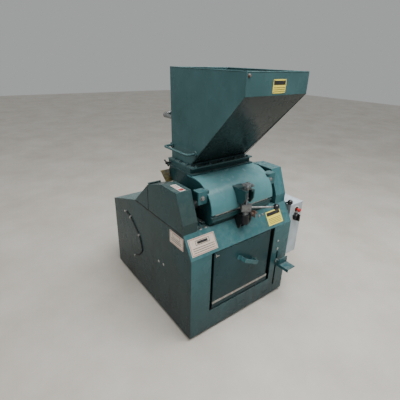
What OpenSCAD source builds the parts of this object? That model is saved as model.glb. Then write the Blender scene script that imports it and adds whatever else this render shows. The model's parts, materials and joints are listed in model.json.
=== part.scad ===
// Beside-the-press granulator: hopper-fed cutting mill on a sheet steel base.
// Frame: +X right along the rotor, +Y to the back, +Z up, origin on the floor
// under the middle of the base. Sub-parts are drawn from the base's front left
// floor corner and place() moves that corner to its spot in the frame.

/* [Base] */
// Width of the base
base_w = 840; // [820:5:900]
// Depth of the base
base_d = 1020; // [980:5:1120]
// Height of the deck above the floor
deck_z = 709; // [700:1:740]
// Thickness of the panels
sheet = 4; // [3:0.5:5]
// Height of the floor pads
pad_h = 20; // [12:1:30]
// Depth of the sloping front strip below the deck
bevel_y = 77; // [60:1:90]
// Height at which the sloping front strip starts
bevel_z = 585; // [575:1:600]
// Height of the rear wall, where the rear slope starts
rear_z = 586; // [540:1:620]
// Depth of the flat deck
deck_y = 646; // [640:1:700]
// Radius of the floor anchor holes
anchor_r = 7; // [5:0.5:9]

/* [Bin bay] */
// Left edge of the front opening
open_x0 = 145; // [130:1:150]
// Right edge of the front opening
open_x1 = 680; // [670:1:700]
// Height of the sill of the front opening
sill_z = 163; // [150:1:170]
// Gap between the bin front and the left edge of the opening
bin_gap = 21; // [12:1:26]
// Width of the bin front
bin_front_w = 475; // [440:1:478]
// Height of the shelf top
shelf_z = 217; // [212:1:226]
// Depth of the bin
bin_d = 506; // [400:1:520]
// Height of the bin body
bin_h = 338; // [290:1:340]
// Height of the bin front plate
bin_front_h = 356; // [310:1:360]
// Pedal travel at the tread, in degrees
pedal_deg = 14; // [8:1:15]

/* [Cutting chamber] */
// Height of the rotor axis
axis_z = 790; // [785:1:800]
// Distance of the rotor axis behind the front face
axis_y = 220; // [215:1:230]
// Outside radius of the curved front cover
cover_r = 170; // [165:1:172]
// Length of the curved cover
cover_w = 492; // [470:2:500]
// Radius that the rotor knives sweep
knife_r = 118; // [100:1:118]
// Gap between rotor knives and bed knives
knife_gap = 0.5; // [0.3:0.1:1]
// Radius of the rotor shaft
shaft_r = 30; // [22:1:32]
// Inside radius of the screen
screen_r = 125; // [124:1:128]
// Thickness of the screen
screen_t = 4; // [3:0.5:5]
// Running clearance of shafts and pins, on the radius
run_gap = 0.05; // [0.03:0.01:0.1]

/* [Hopper] */
// Width of the hopper
hopper_w = 436; // [400:2:440]
// How far the hopper mouth reaches ahead of the base
hopper_front = 99; // [60:1:110]
// Height of the hopper rim
hopper_z = 1534; // [1500:1:1600]
// Height of the upright front panel of the hopper
hopper_lip = 106; // [80:1:130]
// Depth of the hopper neck
neck_d = 200; // [180:1:205]
// Distance of the neck's back wall behind the base front
neck_y1 = 499; // [495:1:505]
// Thickness of the hopper sheet
hopper_t = 3; // [2:0.5:4]

/* [Guards] */
// Width of the belt guard
guard_w = 97; // [92:1:97]
// Left face of the flywheel guard
wheel_guard_x = 741; // [738:1:745]
// Width of the flywheel guard
wheel_guard_w = 94; // [90:1:96]
// Top of the guards
guard_z = 934; // [920:1:940]
// Outside radius of the rotor pulley and flywheel
wheel_r = 110; // [90:1:112]
// Radius of the motor pulley
motor_pulley_r = 62; // [50:1:70]

/* [Controls] */
// Radius of the ball knobs
knob_r = 19; // [15:1:20]
// Reach of the clamp lever from its bolt
lever_reach = 180; // [140:5:220]
// Depth of the control box, out from the base
box_x = 134; // [110:1:150]
// Width of the control box, front to back
box_y = 400; // [300:5:460]
// Height of the control box
box_z = 406; // [350:1:420]
// Distance that the bin's handle stands out
bail_reach = 44; // [30:1:50]
// Slant of the bin's handle, right end down
bail_tilt = 27; // [0:1:35]
// Radius of the stop button
stop_r = 16; // [14:1:20]

/* [Hidden] */
$fn = 48;
eps = 1;
mid_x = base_w / 2;
mid_y = base_d / 2;
fit_gap = 0.3;
flat_t = 6;

// Base
deck_t = 6;
lip_y = bevel_y + 23;
pad_w = 90;
pad_l = 70;
pad_in_x = 100;
pad_in_y = 60;
rail_w = 60;
corner_w = 160;
corner_l = 110;
leg_h = 40;
slot_x = 740;
slot_w = 16;
slot_z0 = 87;
slot_z1 = 376;
louvre_w = 420;
louvre_h = 10;
louvre_step = 34;
louvre_z = 200;

// Discharge opening under the cutting chamber and slots under the wheels
cover_x0 = mid_x - cover_w / 2;
cover_x1 = mid_x + cover_w / 2;
cheek_t = 20;
cheek_x0 = cover_x0 + 10;
cheek_x1 = cover_x1 - 10;
inner_x0 = cheek_x0 + cheek_t;
inner_x1 = cheek_x1 - cheek_t;
house_y0 = axis_y - cover_r + 6;
house_y1 = 400;
house_z0 = 640;
throat_y0 = neck_y1 - neck_d - 8;
cover_t = 6;
flange_z = axis_z + cover_r + 2;
flange_t = 8;
frame_h = 30;
hopper_z0 = flange_z + flange_t + frame_h;

// Hinge of the cutting head
head_y = 425;
head_z = 770;
head_pin_r = 10;
ear_r = 22;

// Screen cradle
cradle_y = 372;
cradle_z = 690;
cradle_pin_r = 9;
rib_r0 = screen_r + screen_t + 1;
rib_r1 = rib_r0 + 12;
rib_t = 12;

// Bin bay and shelf
bay_y = 556;
bay_z = 240;
shelf_t = 6;
shelf_x0 = 170;
shelf_x1 = 660;
shelf_y = 6;
shelf_pin_y = 590;
shelf_pin_z = shelf_z - shelf_t;
shelf_pin_r = 8;
bin_t = 3;
bin_x0 = open_x0 + bin_gap;
bin_x1 = bin_x0 + bin_front_w;
bin_y0 = 3;
bin_z0 = shelf_z + fit_gap;

// Pedal
pedal_y = 300;
pedal_z = 150;
pedal_pin_r = 10;
arm_t = 10;
tread_x0 = slot_x - 5;
tread_x1 = tread_x0 + 78;
tread_y0 = -110;
tread_y1 = -37;
tread_z = 285;
roller_y = 110;
roller_r = 14;
roller_z = shelf_z - shelf_t - roller_r - fit_gap;

// Drive
belt_x = 48;
belt_pitch = 15;
belt_count = 3;
motor_y = 750;
motor_z = 330;
motor_r = 110;
motor_x0 = 112;
motor_x1 = 430;
motor_shaft_r = 14;
block_w = 36;
block_r = 55;

// Front clamp
bolt_x = 396;
bolt_y = 13;
bolt_r = 10;
socket_z0 = 700;
socket_z1 = 757;
socket_r = 25;
socket_gap = 1.2;
bail_x = 437;
bail_z = 436;
bail_half = 64;
latch_x = 452;
latch_y = 34;
latch_z = 726;
latch_r = 8;
nut_z0 = 781;
nut_h = 40;
nut_angle = -32;
bracket_z0 = 830;
bracket_z1 = 914;
star_z = 932;
star_h = 16;

// Side lever and control box
lever_x = base_w + 1;
lever_y = 72;
lever_z = 600;
lever_pin_r = 8;
box_x0 = base_w + 26;
box_y0 = 37;
box_z0 = 273;
door_t = 13;
door_gap = 2;
box_t = 2;
stop_x = 934;
stop_z = 634;
switch_x = 934;
switch_z = 577;

teal = [0.30, 0.47, 0.48];
dark_teal = [0.17, 0.29, 0.31];
steel = [0.70, 0.72, 0.73];
cast = [0.35, 0.37, 0.38];
black = [0.08, 0.08, 0.09];

// Helpers ---------------------------------------------------------------

// Moves the base's front left floor corner to its spot in the frame.
module place() { translate([-mid_x, -mid_y, 0]) children(); }

// A box from its low corner to its high corner.
module span(low, high) { translate(low) cube(high - low); }

// A (y, z) outline carried along X.
module along_x(x0, x1) {
    translate([x0, 0, 0]) rotate([90, 0, 90]) linear_extrude(x1 - x0) children();
}

// Round bars along X, Y and Z.
module x_bar(x0, x1, y, z, r) {
    translate([x0, y, z]) rotate([0, 90, 0]) cylinder(h = x1 - x0, r = r);
}
module y_bar(x, y0, y1, z, r) {
    translate([x, y0, z]) rotate([-90, 0, 0]) cylinder(h = y1 - y0, r = r);
}
module z_bar(x, y, z0, z1, r) {
    translate([x, y, z0]) cylinder(h = z1 - z0, r = r);
}

// A convex outline with each side moved inwards by d, listed anticlockwise.
function side_dir(p, q) = (q - p) / norm(q - p);
function inner_normal(p, q) = [-side_dir(p, q)[1], side_dir(p, q)[0]];
function cross2(a, b) = a[0] * b[1] - a[1] * b[0];
function meet(p, u, q, v) = p + u * cross2(q - p, v) / cross2(u, v);
function inset(pts, d) = [
    for (i = [0 : len(pts) - 1])
        let (n = len(pts), a = pts[(i + n - 1) % n], b = pts[i], c = pts[(i + 1) % n])
        meet(a + inner_normal(a, b) * d, b - a, b + inner_normal(b, c) * d, c - b)
];

// A ring sector in the (y, z) plane from angle a0 to a1 about a centre.
module ring_sector(centre, r0, r1, a0, a1) {
    reach = 2 * r1;
    span_a = a1 - a0;
    translate(centre) intersection() {
        difference() {
            circle(r = r1, $fn = 96);
            circle(r = r0, $fn = 96);
        }
        polygon(concat([[0, 0]],
            [for (i = [0 : 4]) reach * [cos(a0 + span_a * i / 4), sin(a0 + span_a * i / 4)]]));
    }
}

// The same about the rotor axis.
module ring_part(r0, r1, a0, a1) { ring_sector([axis_y, axis_z], r0, r1, a0, a1); }

// A hexagon bolt head standing on a face, along Z.
module hex_head(r, h) { cylinder(h = h, r = r, $fn = 6); }

// Base ------------------------------------------------------------------

side_outline = [[0, pad_h], [base_d, pad_h], [base_d, rear_z], [deck_y, deck_z],
    [bevel_y, deck_z], [0, bevel_z]];

module pad_spots() {
    for (x = [pad_in_x, base_w - pad_in_x])
        for (y = [pad_in_y, base_d - pad_in_y])
            translate([x, y, 0]) children();
}

module floor_pads() {
    color(black) place() pad_spots() difference() {
        translate([-pad_w / 2, -pad_l / 2, 0]) cube([pad_w, pad_l, pad_h]);
        translate([0, 0, -eps]) cylinder(h = pad_h + 2 * eps, r = anchor_r);
    }
}

module base_frame() {
    color(dark_teal) place() difference() {
        union() {
            difference() {
                span([sheet, sheet, pad_h], [base_w - sheet, base_d - sheet, pad_h + flat_t]);
                span([sheet + rail_w, sheet + rail_w, 0],
                    [base_w - sheet - rail_w, base_d - sheet - rail_w, pad_h + flat_t + eps]);
            }
            for (x = [sheet, base_w - sheet - corner_w])
                for (y = [sheet, base_d - sheet - corner_l])
                    translate([x, y, pad_h]) cube([corner_w, corner_l, flat_t]);
            difference() {
                span([sheet, sheet, pad_h], [base_w - sheet, base_d - sheet, pad_h + leg_h]);
                span([sheet + flat_t, sheet + flat_t, 0],
                    [base_w - sheet - flat_t, base_d - sheet - flat_t, pad_h + leg_h + eps]);
            }
            pedal_posts();
            motor_rails();
        }
        pad_spots() cylinder(h = 2 * pad_h, r = anchor_r);
        x_bar(0, base_w, pedal_y, pedal_z, pedal_pin_r + run_gap);
    }
}

// Posts that carry the pedal shaft, each on a cross strip of the frame.
post_x = [150, 700, 770];
module pedal_posts() {
    for (x = post_x) {
        span([x - flat_t, pedal_y - 25, pad_h], [x + flat_t, pedal_y + 25, pedal_z + 22]);
    }
    span([sheet, pedal_y - 25, pad_h], [base_w - sheet, pedal_y + 25, pad_h + flat_t]);
}

// Two rails under the motor.
rail_top = motor_z - motor_r - 15;
module motor_rails() {
    for (y = [motor_y - 90, motor_y + 90]) {
        span([sheet, y - 20, pad_h], [base_w - sheet, y + 20, pad_h + flat_t]);
        for (x = [150, 390])
            span([x - 30, y - 20, pad_h], [x + 30, y + 20, rail_top]);
    }
}

module left_panel() { color(teal) place() along_x(0, sheet) polygon(side_outline); }

module right_panel() {
    color(teal) place() difference() {
        along_x(base_w - sheet, base_w) polygon(side_outline);
        x_bar(base_w - 2 * sheet, base_w + eps, lever_y, lever_z, lever_pin_r + run_gap);
    }
}

module front_panel() {
    inner = inset([[0, pad_h], [2 * deck_y, pad_h], [2 * deck_y, deck_z], [bevel_y, deck_z],
        [0, bevel_z]], sheet);
    color(teal) place() difference() {
        along_x(sheet, base_w - sheet)
            polygon([[0, pad_h], [sheet, pad_h], inner[4], inner[3], [lip_y, inner[3][1]],
                [lip_y, deck_z], [bevel_y, deck_z], [0, bevel_z]]);
        span([open_x0, -eps, sill_z], [open_x1, 2 * sheet, bevel_z]);
        span([slot_x - slot_w / 2, -eps, slot_z0], [slot_x + slot_w / 2, 2 * sheet, slot_z1]);
    }
}

module deck_plate() {
    color(teal) place() difference() {
        span([sheet, lip_y, deck_z - deck_t], [base_w - sheet, deck_y, deck_z]);
        span([cheek_x0 - 2, lip_y - eps, 0], [cheek_x1 + 2, house_y1 + 4, base_d]);
        span([20, lip_y - eps, 0], [guard_w - 5, 490, base_d]);
        span([wheel_guard_x + 4, lip_y - eps, 0], [wheel_guard_x + wheel_guard_w - 6, 345, base_d]);
    }
}

module rear_cover() {
    outline = [[deck_y, deck_z], [deck_y, deck_z - 2 * sheet], [base_d - sheet, rear_z - sheet],
        [base_d - sheet, pad_h], [base_d, pad_h], [base_d, rear_z]];
    color(teal) place() difference() {
        along_x(sheet, base_w - sheet) polygon(outline);
        for (i = [0 : 7])
            span([mid_x - louvre_w / 2, base_d - 2 * sheet, louvre_z + i * louvre_step],
                [mid_x + louvre_w / 2, base_d + eps, louvre_z + louvre_h + i * louvre_step]);
    }
}

// Sheet walls around the bin, the ears of the shelf hinge and the chute that
// drops the granulate from the screen into the bin.
module bin_bay() {
    ear_y0 = bay_y + sheet;
    chute_z0 = bin_z0 + bin_front_h + 8;
    clear = sheet + fit_gap;
    bevel_in = inset([[0, pad_h], [2 * deck_y, pad_h], [2 * deck_y, deck_z], [bevel_y, deck_z],
        [0, bevel_z]], clear);
    color(dark_teal) place() difference() {
        union() {
            for (x = [open_x0, open_x1 - sheet])
                span([x, sheet, bay_z], [x + sheet, bay_y + sheet, deck_z - deck_t]);
            span([open_x0, bay_y, bay_z], [open_x1, bay_y + sheet, deck_z - deck_t]);
            for (x = [shelf_x0 - 14, shelf_x1 + 2])
                span([x, ear_y0 - sheet, shelf_z - 24], [x + 12, shelf_pin_y + 18, bay_z + 40]);
            difference() {
                span([cheek_x0 - 24, lip_y - 18, chute_z0], [cheek_x1 + 20, house_y1 + 30, house_z0 + 55]);
                span([cheek_x0 - 24 + sheet, lip_y - 18 + sheet, 0],
                    [cheek_x1 + 20 - sheet, house_y1 + 30 - sheet, base_d]);
            }
        }
        along_x(0, base_w)
            polygon([bevel_in[4], bevel_in[3], [bevel_in[3][0], deck_z], [-sheet, deck_z],
                [-sheet, bevel_in[4][1]]]);
        x_bar(0, base_w, shelf_pin_y, shelf_pin_z, shelf_pin_r + run_gap);
    }
}

// Cutting chamber, fixed half ---------------------------------------------

module lower_cheek(x0) {
    cheek_y = lip_y + fit_gap;
    along_x(x0, x0 + cheek_t) difference() {
        polygon([[house_y0, axis_z], [house_y0, 745], [lip_y - 16, deck_z], [cheek_y, deck_z],
            [cheek_y, house_z0], [house_y1, house_z0], [house_y1, axis_z]]);
        translate([axis_y, axis_z]) circle(r = shaft_r + 4);
    }
}

module lower_housing() {
    color(teal) place() difference() {
        union() {
            lower_cheek(cheek_x0);
            lower_cheek(inner_x1);
            along_x(inner_x0, inner_x1)
                polygon([[house_y0, 776], [house_y0, 745], [80, deck_z], [92, deck_z], [92, 776]]);
            along_x(inner_x0, inner_x1)
                polygon([[350, 776], [350, deck_z], [house_y1, deck_z], [house_y1, 776]]);
            span([cover_x0, house_y0 - 5, 770], [cover_x1, house_y0 + 8, 776]);
            for (x = [cheek_x0 - 22, cheek_x1])
                span([x, 120, deck_z], [x + 22, 380, deck_z + 10]);
        }
        x_bar(0, base_w, cradle_y, cradle_z, cradle_pin_r + run_gap);
    }
}

module bed_knives() {
    edge = knife_r + knife_gap;
    color(steel) place() {
        span([inner_x0 + 1, house_y0 + 2, 776], [inner_x1 - 1, axis_y - edge, axis_z - 1]);
        span([inner_x0 + 1, axis_y + edge, 776], [inner_x1 - 1, house_y1 - 6, axis_z - 1]);
    }
}

// Outer faces of the two shaft bearings' blocks.
left_block_x = 108;
right_block_x = base_w - left_block_x - block_w;

module pillow_blocks() {
    color(cast) place() for (x = [left_block_x, right_block_x]) difference() {
        union() {
            x_bar(x, x + block_w, axis_y, axis_z, block_r);
            span([x, axis_y - 95, deck_z], [x + block_w, axis_y + 95, deck_z + 22]);
            span([x, axis_y - 45, deck_z], [x + block_w, axis_y + 45, axis_z]);
        }
        x_bar(x - eps, x + block_w + eps, axis_y, axis_z, shaft_r + 14);
        for (y = [-75, 75]) z_bar(x + block_w / 2, axis_y + y, 0, base_d, 7);
    }
}

module rotor_bearings() {
    color(steel) place() for (x = [left_block_x, right_block_x]) difference() {
        x_bar(x, x + block_w, axis_y, axis_z, shaft_r + 14);
        x_bar(x - eps, x + block_w + eps, axis_y, axis_z, shaft_r + run_gap);
    }
}

module housing_hinges() {
    color(cast) place() for (side = [0, 1]) {
        x0 = side == 0 ? inner_x0 + 5 : inner_x1 - 29;
        pin_x0 = side == 0 ? cheek_x0 - 3 : inner_x1 - 29;
        span([x0, head_y - 20, deck_z], [x0 + 24, head_y + 20, head_z]);
        x_bar(x0, x0 + 24, head_y, head_z, 20);
        x_bar(pin_x0, pin_x0 + 52, head_y, head_z, head_pin_r);
    }
}

// Guards ------------------------------------------------------------------

guard_seam = 460;
guard_drop_z = 768;
guard_front_y = 144;
guard_back_y = 297;
seam_z = 878;
guard_outline = [[bevel_y, deck_z], [deck_y, deck_z], [guard_seam, seam_z],
    [guard_back_y, guard_z], [guard_front_y, guard_z], [bevel_y, guard_drop_z]];

// A hollow guard, open at the bottom, with a hole for the rotor shaft.
module guard_shell(x0, x1, shaft_x0, shaft_x1) {
    wall = 3;
    open_bottom = concat([[guard_outline[0][0] + wall, deck_z - eps],
        [guard_outline[1][0] - 2 * wall, deck_z - eps]],
        [for (i = [2 : 5]) inset(guard_outline, wall)[i]]);
    difference() {
        along_x(x0, x1) polygon(guard_outline);
        along_x(x0 + wall, x1 - wall) polygon(open_bottom);
        x_bar(shaft_x0, shaft_x1, axis_y, axis_z, shaft_r + 5);
    }
}

// The path that the shaft takes out of the inner wall as the guard swings up.
module shaft_path() {
    arm = [axis_y - guard_seam, axis_z - hinge_z];
    start = atan2(arm[1], arm[0]) + 360;
    half = shaft_r + 5;
    along_x(guard_w - 5, guard_w + eps)
        ring_sector([guard_seam, hinge_z], norm(arm) - half, norm(arm) + half, start, start + 60);
}

module guard_piece(y0, y1) {
    difference() {
        intersection() {
            guard_shell(0, guard_w, guard_w - 5, guard_w + eps);
            span([-eps, y0, 0], [guard_w + eps, y1, base_d]);
        }
        shaft_path();
    }
}

hinge_z = seam_z + 7;
hinge_r = 6;
knuckle_x = [[6, 30], [31, 62], [63, 90]];

module knuckle(x_range, y0, y1) {
    difference() {
        union() {
            x_bar(x_range[0], x_range[1], guard_seam, hinge_z, hinge_r);
            span([x_range[0], y0, seam_z - 8], [x_range[1], y1, hinge_z - 1]);
        }
        x_bar(0, guard_w, guard_seam, hinge_z, 3 + run_gap);
    }
}

module belt_guard_rear() {
    color(teal) place() {
        guard_piece(guard_seam + 0.5, base_d);
        intersection() {
            knuckle(knuckle_x[1], guard_seam, guard_seam + 6);
            union() {
                span([0, guard_seam + 0.5, 0], [guard_w, base_d, base_d]);
                x_bar(0, guard_w, guard_seam, hinge_z, hinge_r);
            }
        }
    }
}

module belt_guard_front() {
    color(teal) place() {
        guard_piece(0, guard_seam - 0.5);
        for (i = [0, 2]) intersection() {
            knuckle(knuckle_x[i], guard_seam - 6, guard_seam);
            union() {
                span([0, 0, 0], [guard_w, guard_seam - 0.5, base_d]);
                x_bar(0, guard_w, guard_seam, hinge_z, hinge_r);
            }
        }
    }
}

module guard_hinge_pin() {
    color(steel) place() x_bar(4, 92, guard_seam, hinge_z, 3);
}

module flywheel_guard() {
    color(teal) place()
        guard_shell(wheel_guard_x, wheel_guard_x + wheel_guard_w, wheel_guard_x - eps,
            wheel_guard_x + 5);
}

// Drive -------------------------------------------------------------------

module motor() {
    color(cast) place() {
        difference() {
            union() {
                x_bar(motor_x0 + 20, motor_x1, motor_y, motor_z, motor_r - 10);
                x_bar(motor_x0, motor_x0 + 20, motor_y, motor_z, motor_r);
                x_bar(motor_x1, motor_x1 + 60, motor_y, motor_z, motor_r);
                for (a = [0 : 15 : 345])
                    translate([motor_x0 + 20, motor_y, motor_z]) rotate([a, 0, 0])
                        translate([0, -1.5, 60]) cube([motor_x1 - motor_x0 - 20, 3, motor_r - 62]);
                for (y = [-90, 90])
                    span([motor_x0 + 30, motor_y + y - 22, rail_top],
                        [motor_x1 - 30, motor_y + y + 22, rail_top + 14]);
                span([motor_x0 + 60, motor_y - 75, rail_top], [motor_x1 - 60, motor_y + 75, motor_z]);
                span([230, motor_y - 55, motor_z + 80], [340, motor_y + 55, motor_z + 150]);
            }
            x_bar(motor_x0 - eps, motor_x0 + 140, motor_y, motor_z, motor_shaft_r + run_gap);
        }
    }
}

module motor_shaft() {
    color(steel) place() x_bar(belt_x - 25, motor_x0 + 130, motor_y, motor_z, motor_shaft_r);
}

// A pulley outline as (radius, x) turned about X, with one groove per belt.
groove = 8;
module pulley(y, z, r, bore) {
    width = belt_pitch * belt_count + 6;
    translate([belt_x - width / 2, y, z]) rotate([0, 90, 0]) difference() {
        cylinder(h = width, r = r, $fn = 96);
        translate([0, 0, -eps]) cylinder(h = width + 2 * eps, r = bore);
        for (i = [0 : belt_count - 1])
            translate([0, 0, 3 + (i + 0.5) * belt_pitch - 5]) difference() {
                cylinder(h = 10, r = r + eps, $fn = 96);
                translate([0, 0, -eps]) cylinder(h = 12, r = r - groove, $fn = 96);
            }
    }
}

module rotor_pulley() {
    color(cast) place() pulley(axis_y, axis_z, wheel_r, shaft_r);
}
module motor_pulley() {
    color(cast) place() pulley(motor_y, motor_z, motor_pulley_r, motor_shaft_r);
}

// The outline of a belt that runs round two pulleys, r0 and r1 its radii.
function arc_points(centre, r, a0, a1, count) =
    [for (i = [0 : count]) let (a = a0 + (a1 - a0) * i / count) centre + r * [cos(a), sin(a)]];
function belt_outline(r0, r1) =
    let (p = [axis_y, axis_z], q = [motor_y, motor_z], run = q - p,
        lean = asin((r0 - r1) / norm(run)), base = atan2(run[1], run[0]))
    concat(arc_points(p, r0, base + 90 - lean, base + 270 + lean, 48),
        arc_points(q, r1, base - 90 + lean, base + 90 - lean, 32));

module drive_belts() {
    belt_w = 9;
    belt_t = 8;
    seat = 0.4;
    r0 = wheel_r - groove + seat;
    r1 = motor_pulley_r - groove + seat;
    color(black) place() for (i = [0 : belt_count - 1]) {
        x = belt_x - belt_pitch * (belt_count - 1) / 2 + i * belt_pitch - belt_w / 2;
        along_x(x, x + belt_w) difference() {
            polygon(belt_outline(r0 + belt_t, r1 + belt_t));
            polygon(belt_outline(r0, r1));
        }
    }
}

shaft_x0 = belt_x - 26;
shaft_x1 = wheel_guard_x + wheel_guard_w - 15;
wheel_x0 = wheel_guard_x + 16;
wheel_x1 = wheel_x0 + 52;

module rotor_shaft() {
    color(steel) place() x_bar(shaft_x0, shaft_x1, axis_y, axis_z, shaft_r);
}

module flywheel() {
    color(cast) place() difference() {
        union() {
            difference() {
                x_bar(wheel_x0, wheel_x1, axis_y, axis_z, wheel_r);
                x_bar(wheel_x0 - eps, wheel_x1 + eps, axis_y, axis_z, wheel_r - 24);
            }
            x_bar(wheel_x0 + 16, wheel_x1 - 16, axis_y, axis_z, wheel_r - 20);
            x_bar(wheel_x0, wheel_x1, axis_y, axis_z, shaft_r + 18);
        }
        x_bar(0, base_w, axis_y, axis_z, shaft_r);
    }
}

// Rotor: three arms on a hub, with a knife bolted on the leading face of each.
arm_count = 3;
hub_r = shaft_r + 18;
module rotor_core() {
    color(cast) place() along_x(inner_x0 + 6, inner_x1 - 6) difference() {
        translate([axis_y, axis_z]) union() {
            circle(r = hub_r, $fn = 96);
            for (i = [0 : arm_count - 1]) rotate(30 + i * 360 / arm_count)
                translate([0, -28]) square([knife_r - 16, 40]);
        }
        translate([axis_y, axis_z]) circle(r = shaft_r);
    }
}

module rotor_knives() {
    color(steel) place() along_x(inner_x0 + 8, inner_x1 - 8) translate([axis_y, axis_z])
        for (i = [0 : arm_count - 1]) rotate(30 + i * 360 / arm_count)
            polygon([[knife_r - 62, 12], [knife_r - 62, 24], [knife_r - 8, 24], [knife_r - 2, 12]]);
}

// Screen and its cradle -----------------------------------------------------

screen_a0 = 205;
screen_a1 = 330;
rib_a0 = 215;
rib_a1 = 325;

module screen() {
    pitch_x = 38;
    pitch_a = 10;
    hole_r = 9;
    color(steel) place() difference() {
        along_x(inner_x0 + 2, inner_x1 - 2)
            ring_part(screen_r, screen_r + screen_t, screen_a0, screen_a1);
        for (i = [-5 : 5]) for (a = [screen_a0 + 8 : pitch_a : screen_a1 - 6])
            translate([mid_x + i * pitch_x, axis_y, axis_z]) rotate([a - 90, 0, 0])
                translate([0, 0, screen_r - 5]) cylinder(h = 15, r = hole_r, $fn = 6);
    }
}

module screen_cradle() {
    color(cast) place() {
        for (x = [inner_x0 + 4, mid_x - rib_t / 2, inner_x1 - 4 - rib_t])
            along_x(x, x + rib_t) union() {
                ring_part(rib_r0, rib_r1, rib_a0, rib_a1);
                polygon([[320, 690], [cradle_y, cradle_z - 8], [cradle_y, cradle_z + 8], [332, 704]]);
            }
        along_x(inner_x0 + 4, inner_x1 - 4) ring_part(rib_r0 + 4, rib_r1, rib_a0, rib_a0 + 5);
        along_x(inner_x0 + 4, inner_x1 - 4) ring_part(rib_r0 + 4, rib_r1, 268, 272);
        x_bar(cheek_x0 + 2, cheek_x1 - 2, cradle_y, cradle_z, cradle_pin_r);
    }
}

// Cutting head: the half that tilts back with the hopper -------------------

slope_y = 497;
slope_z = 905;
module head_cheek(x0, ear_x0, ear_x1) {
    along_x(x0, x0 + cheek_t) difference() {
        union() {
            intersection() {
                translate([axis_y, axis_z]) circle(r = cover_r - cover_t, $fn = 96);
                translate([0, axis_z + fit_gap]) square([2 * axis_y, 2 * cover_r]);
            }
            polygon([[axis_y, axis_z + fit_gap], [house_y1, axis_z + fit_gap], [slope_y, slope_z],
                [slope_y, flange_z], [throat_y0, flange_z], [throat_y0, axis_z + cover_r - cover_t],
                [axis_y, axis_z + cover_r - cover_t]]);
        }
        translate([axis_y, axis_z]) circle(r = shaft_r + 4);
    }
    difference() {
        along_x(x0, x0 + cheek_t)
            polygon([[head_y - ear_r, head_z], [head_y - ear_r, axis_z + 6], [head_y + 10, 830],
                [head_y + ear_r, head_z]]);
        x_bar(x0 - eps, x0 + cheek_t + eps, head_y, head_z, ear_r - 2);
    }
    difference() {
        x_bar(x0, x0 + cheek_t, head_y, head_z, ear_r);
        x_bar(x0 - eps, x0 + cheek_t + eps, head_y, head_z, head_pin_r + run_gap);
    }
}

lug_y = 97;
lug_z0 = 855;
lug_z1 = 927;
module lug(x0) {
    span([x0, lug_y, lug_z0], [x0 + 72, lug_y + 12, lug_z1]);
    span([x0, lug_y, lug_z1 - 6], [x0 + 72, lug_y + 50, lug_z1]);
    translate([x0 + 26, lug_y, (lug_z0 + lug_z1) / 2]) rotate([90, 0, 0]) hex_head(11, 10);
}

module upper_housing() {
    color(teal) place() {
        head_cheek(cheek_x0);
        head_cheek(inner_x1);
        along_x(inner_x0, inner_x1)
            polygon([[house_y1 - 6, axis_z + 6], [house_y1, axis_z + 2], [slope_y, slope_z],
                [slope_y, flange_z], [slope_y - 6, flange_z], [slope_y - 6, slope_z + 2]]);
        difference() {
            span([cheek_x0 - 10, throat_y0 - 44, flange_z], [cheek_x1 + 10, slope_y + 10, flange_z + flange_t]);
            span([inner_x0, throat_y0 + 8, 0], [inner_x1, slope_y - 6, base_d * 2]);
        }
        difference() {
            union() {
                lug(cheek_x0 - 71);
                lug(cheek_x1 - 1);
            }
            along_x(cover_x0 - fit_gap, cover_x1 + fit_gap)
                ring_part(cover_r - cover_t, cover_r + fit_gap, 90, 180);
        }
    }
}

// Curved sheet over the front of the rotor, running back to the throat.
module front_cover() {
    color([0.45, 0.63, 0.66]) place() along_x(cover_x0, cover_x1) {
        ring_part(cover_r - cover_t, cover_r, 90, 180 - 0.2);
        polygon([[axis_y - eps, axis_z + cover_r - cover_t], [throat_y0, axis_z + cover_r - cover_t],
            [throat_y0, flange_z], [axis_y - eps, axis_z + cover_r]]);
    }
}

module chamber_liner() {
    wall = 8;
    liner_r = knife_r + 16;
    color(cast) place() along_x(inner_x0 + fit_gap, inner_x1 - fit_gap) {
        ring_part(liner_r - wall, liner_r, 75, 178);
        polygon([[251, axis_z + 122], [259, axis_z + 118], [throat_y0 + 8, flange_z - 16],
            [throat_y0 + 2, flange_z - 14]]);
    }
}

module throat_frame() {
    color(dark_teal) place() difference() {
        span([cheek_x0 - 4, throat_y0 - 20, flange_z + flange_t],
            [cheek_x1 + 4, slope_y + 8, hopper_z0]);
        span([inner_x0, throat_y0 + 8, 0], [inner_x1, slope_y - 6, base_d * 2]);
    }
}

// Hopper: neck, slanted front, upright lip, open top.
hopper_x0 = mid_x - hopper_w / 2;
hopper_x1 = mid_x + hopper_w / 2;
hopper_y1 = 512;
neck_y0 = neck_y1 - neck_d;
hopper_outline = [[neck_y0, hopper_z0], [neck_y1, hopper_z0], [hopper_y1, hopper_z],
    [-hopper_front, hopper_z], [-hopper_front, hopper_z - hopper_lip], [neck_y0, hopper_z0 + 15]];

module hopper() {
    body = inset(hopper_outline, hopper_t);
    cavity = [[body[0][0], hopper_z0 - eps], [body[1][0], hopper_z0 - eps],
        [body[2][0], hopper_z + eps], [body[3][0], hopper_z + eps], body[4], body[5]];
    color(dark_teal) place() {
        difference() {
            union() {
                along_x(hopper_x0, hopper_x1) polygon(hopper_outline);
                span([cheek_x0 - 4, neck_y0 - 50, hopper_z0],
                    [cheek_x1 + 4, neck_y1 + 12, hopper_z0 + flange_t]);
            }
            along_x(hopper_x0 + hopper_t, hopper_x1 - hopper_t) polygon(cavity);
        }
    }
}

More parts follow.
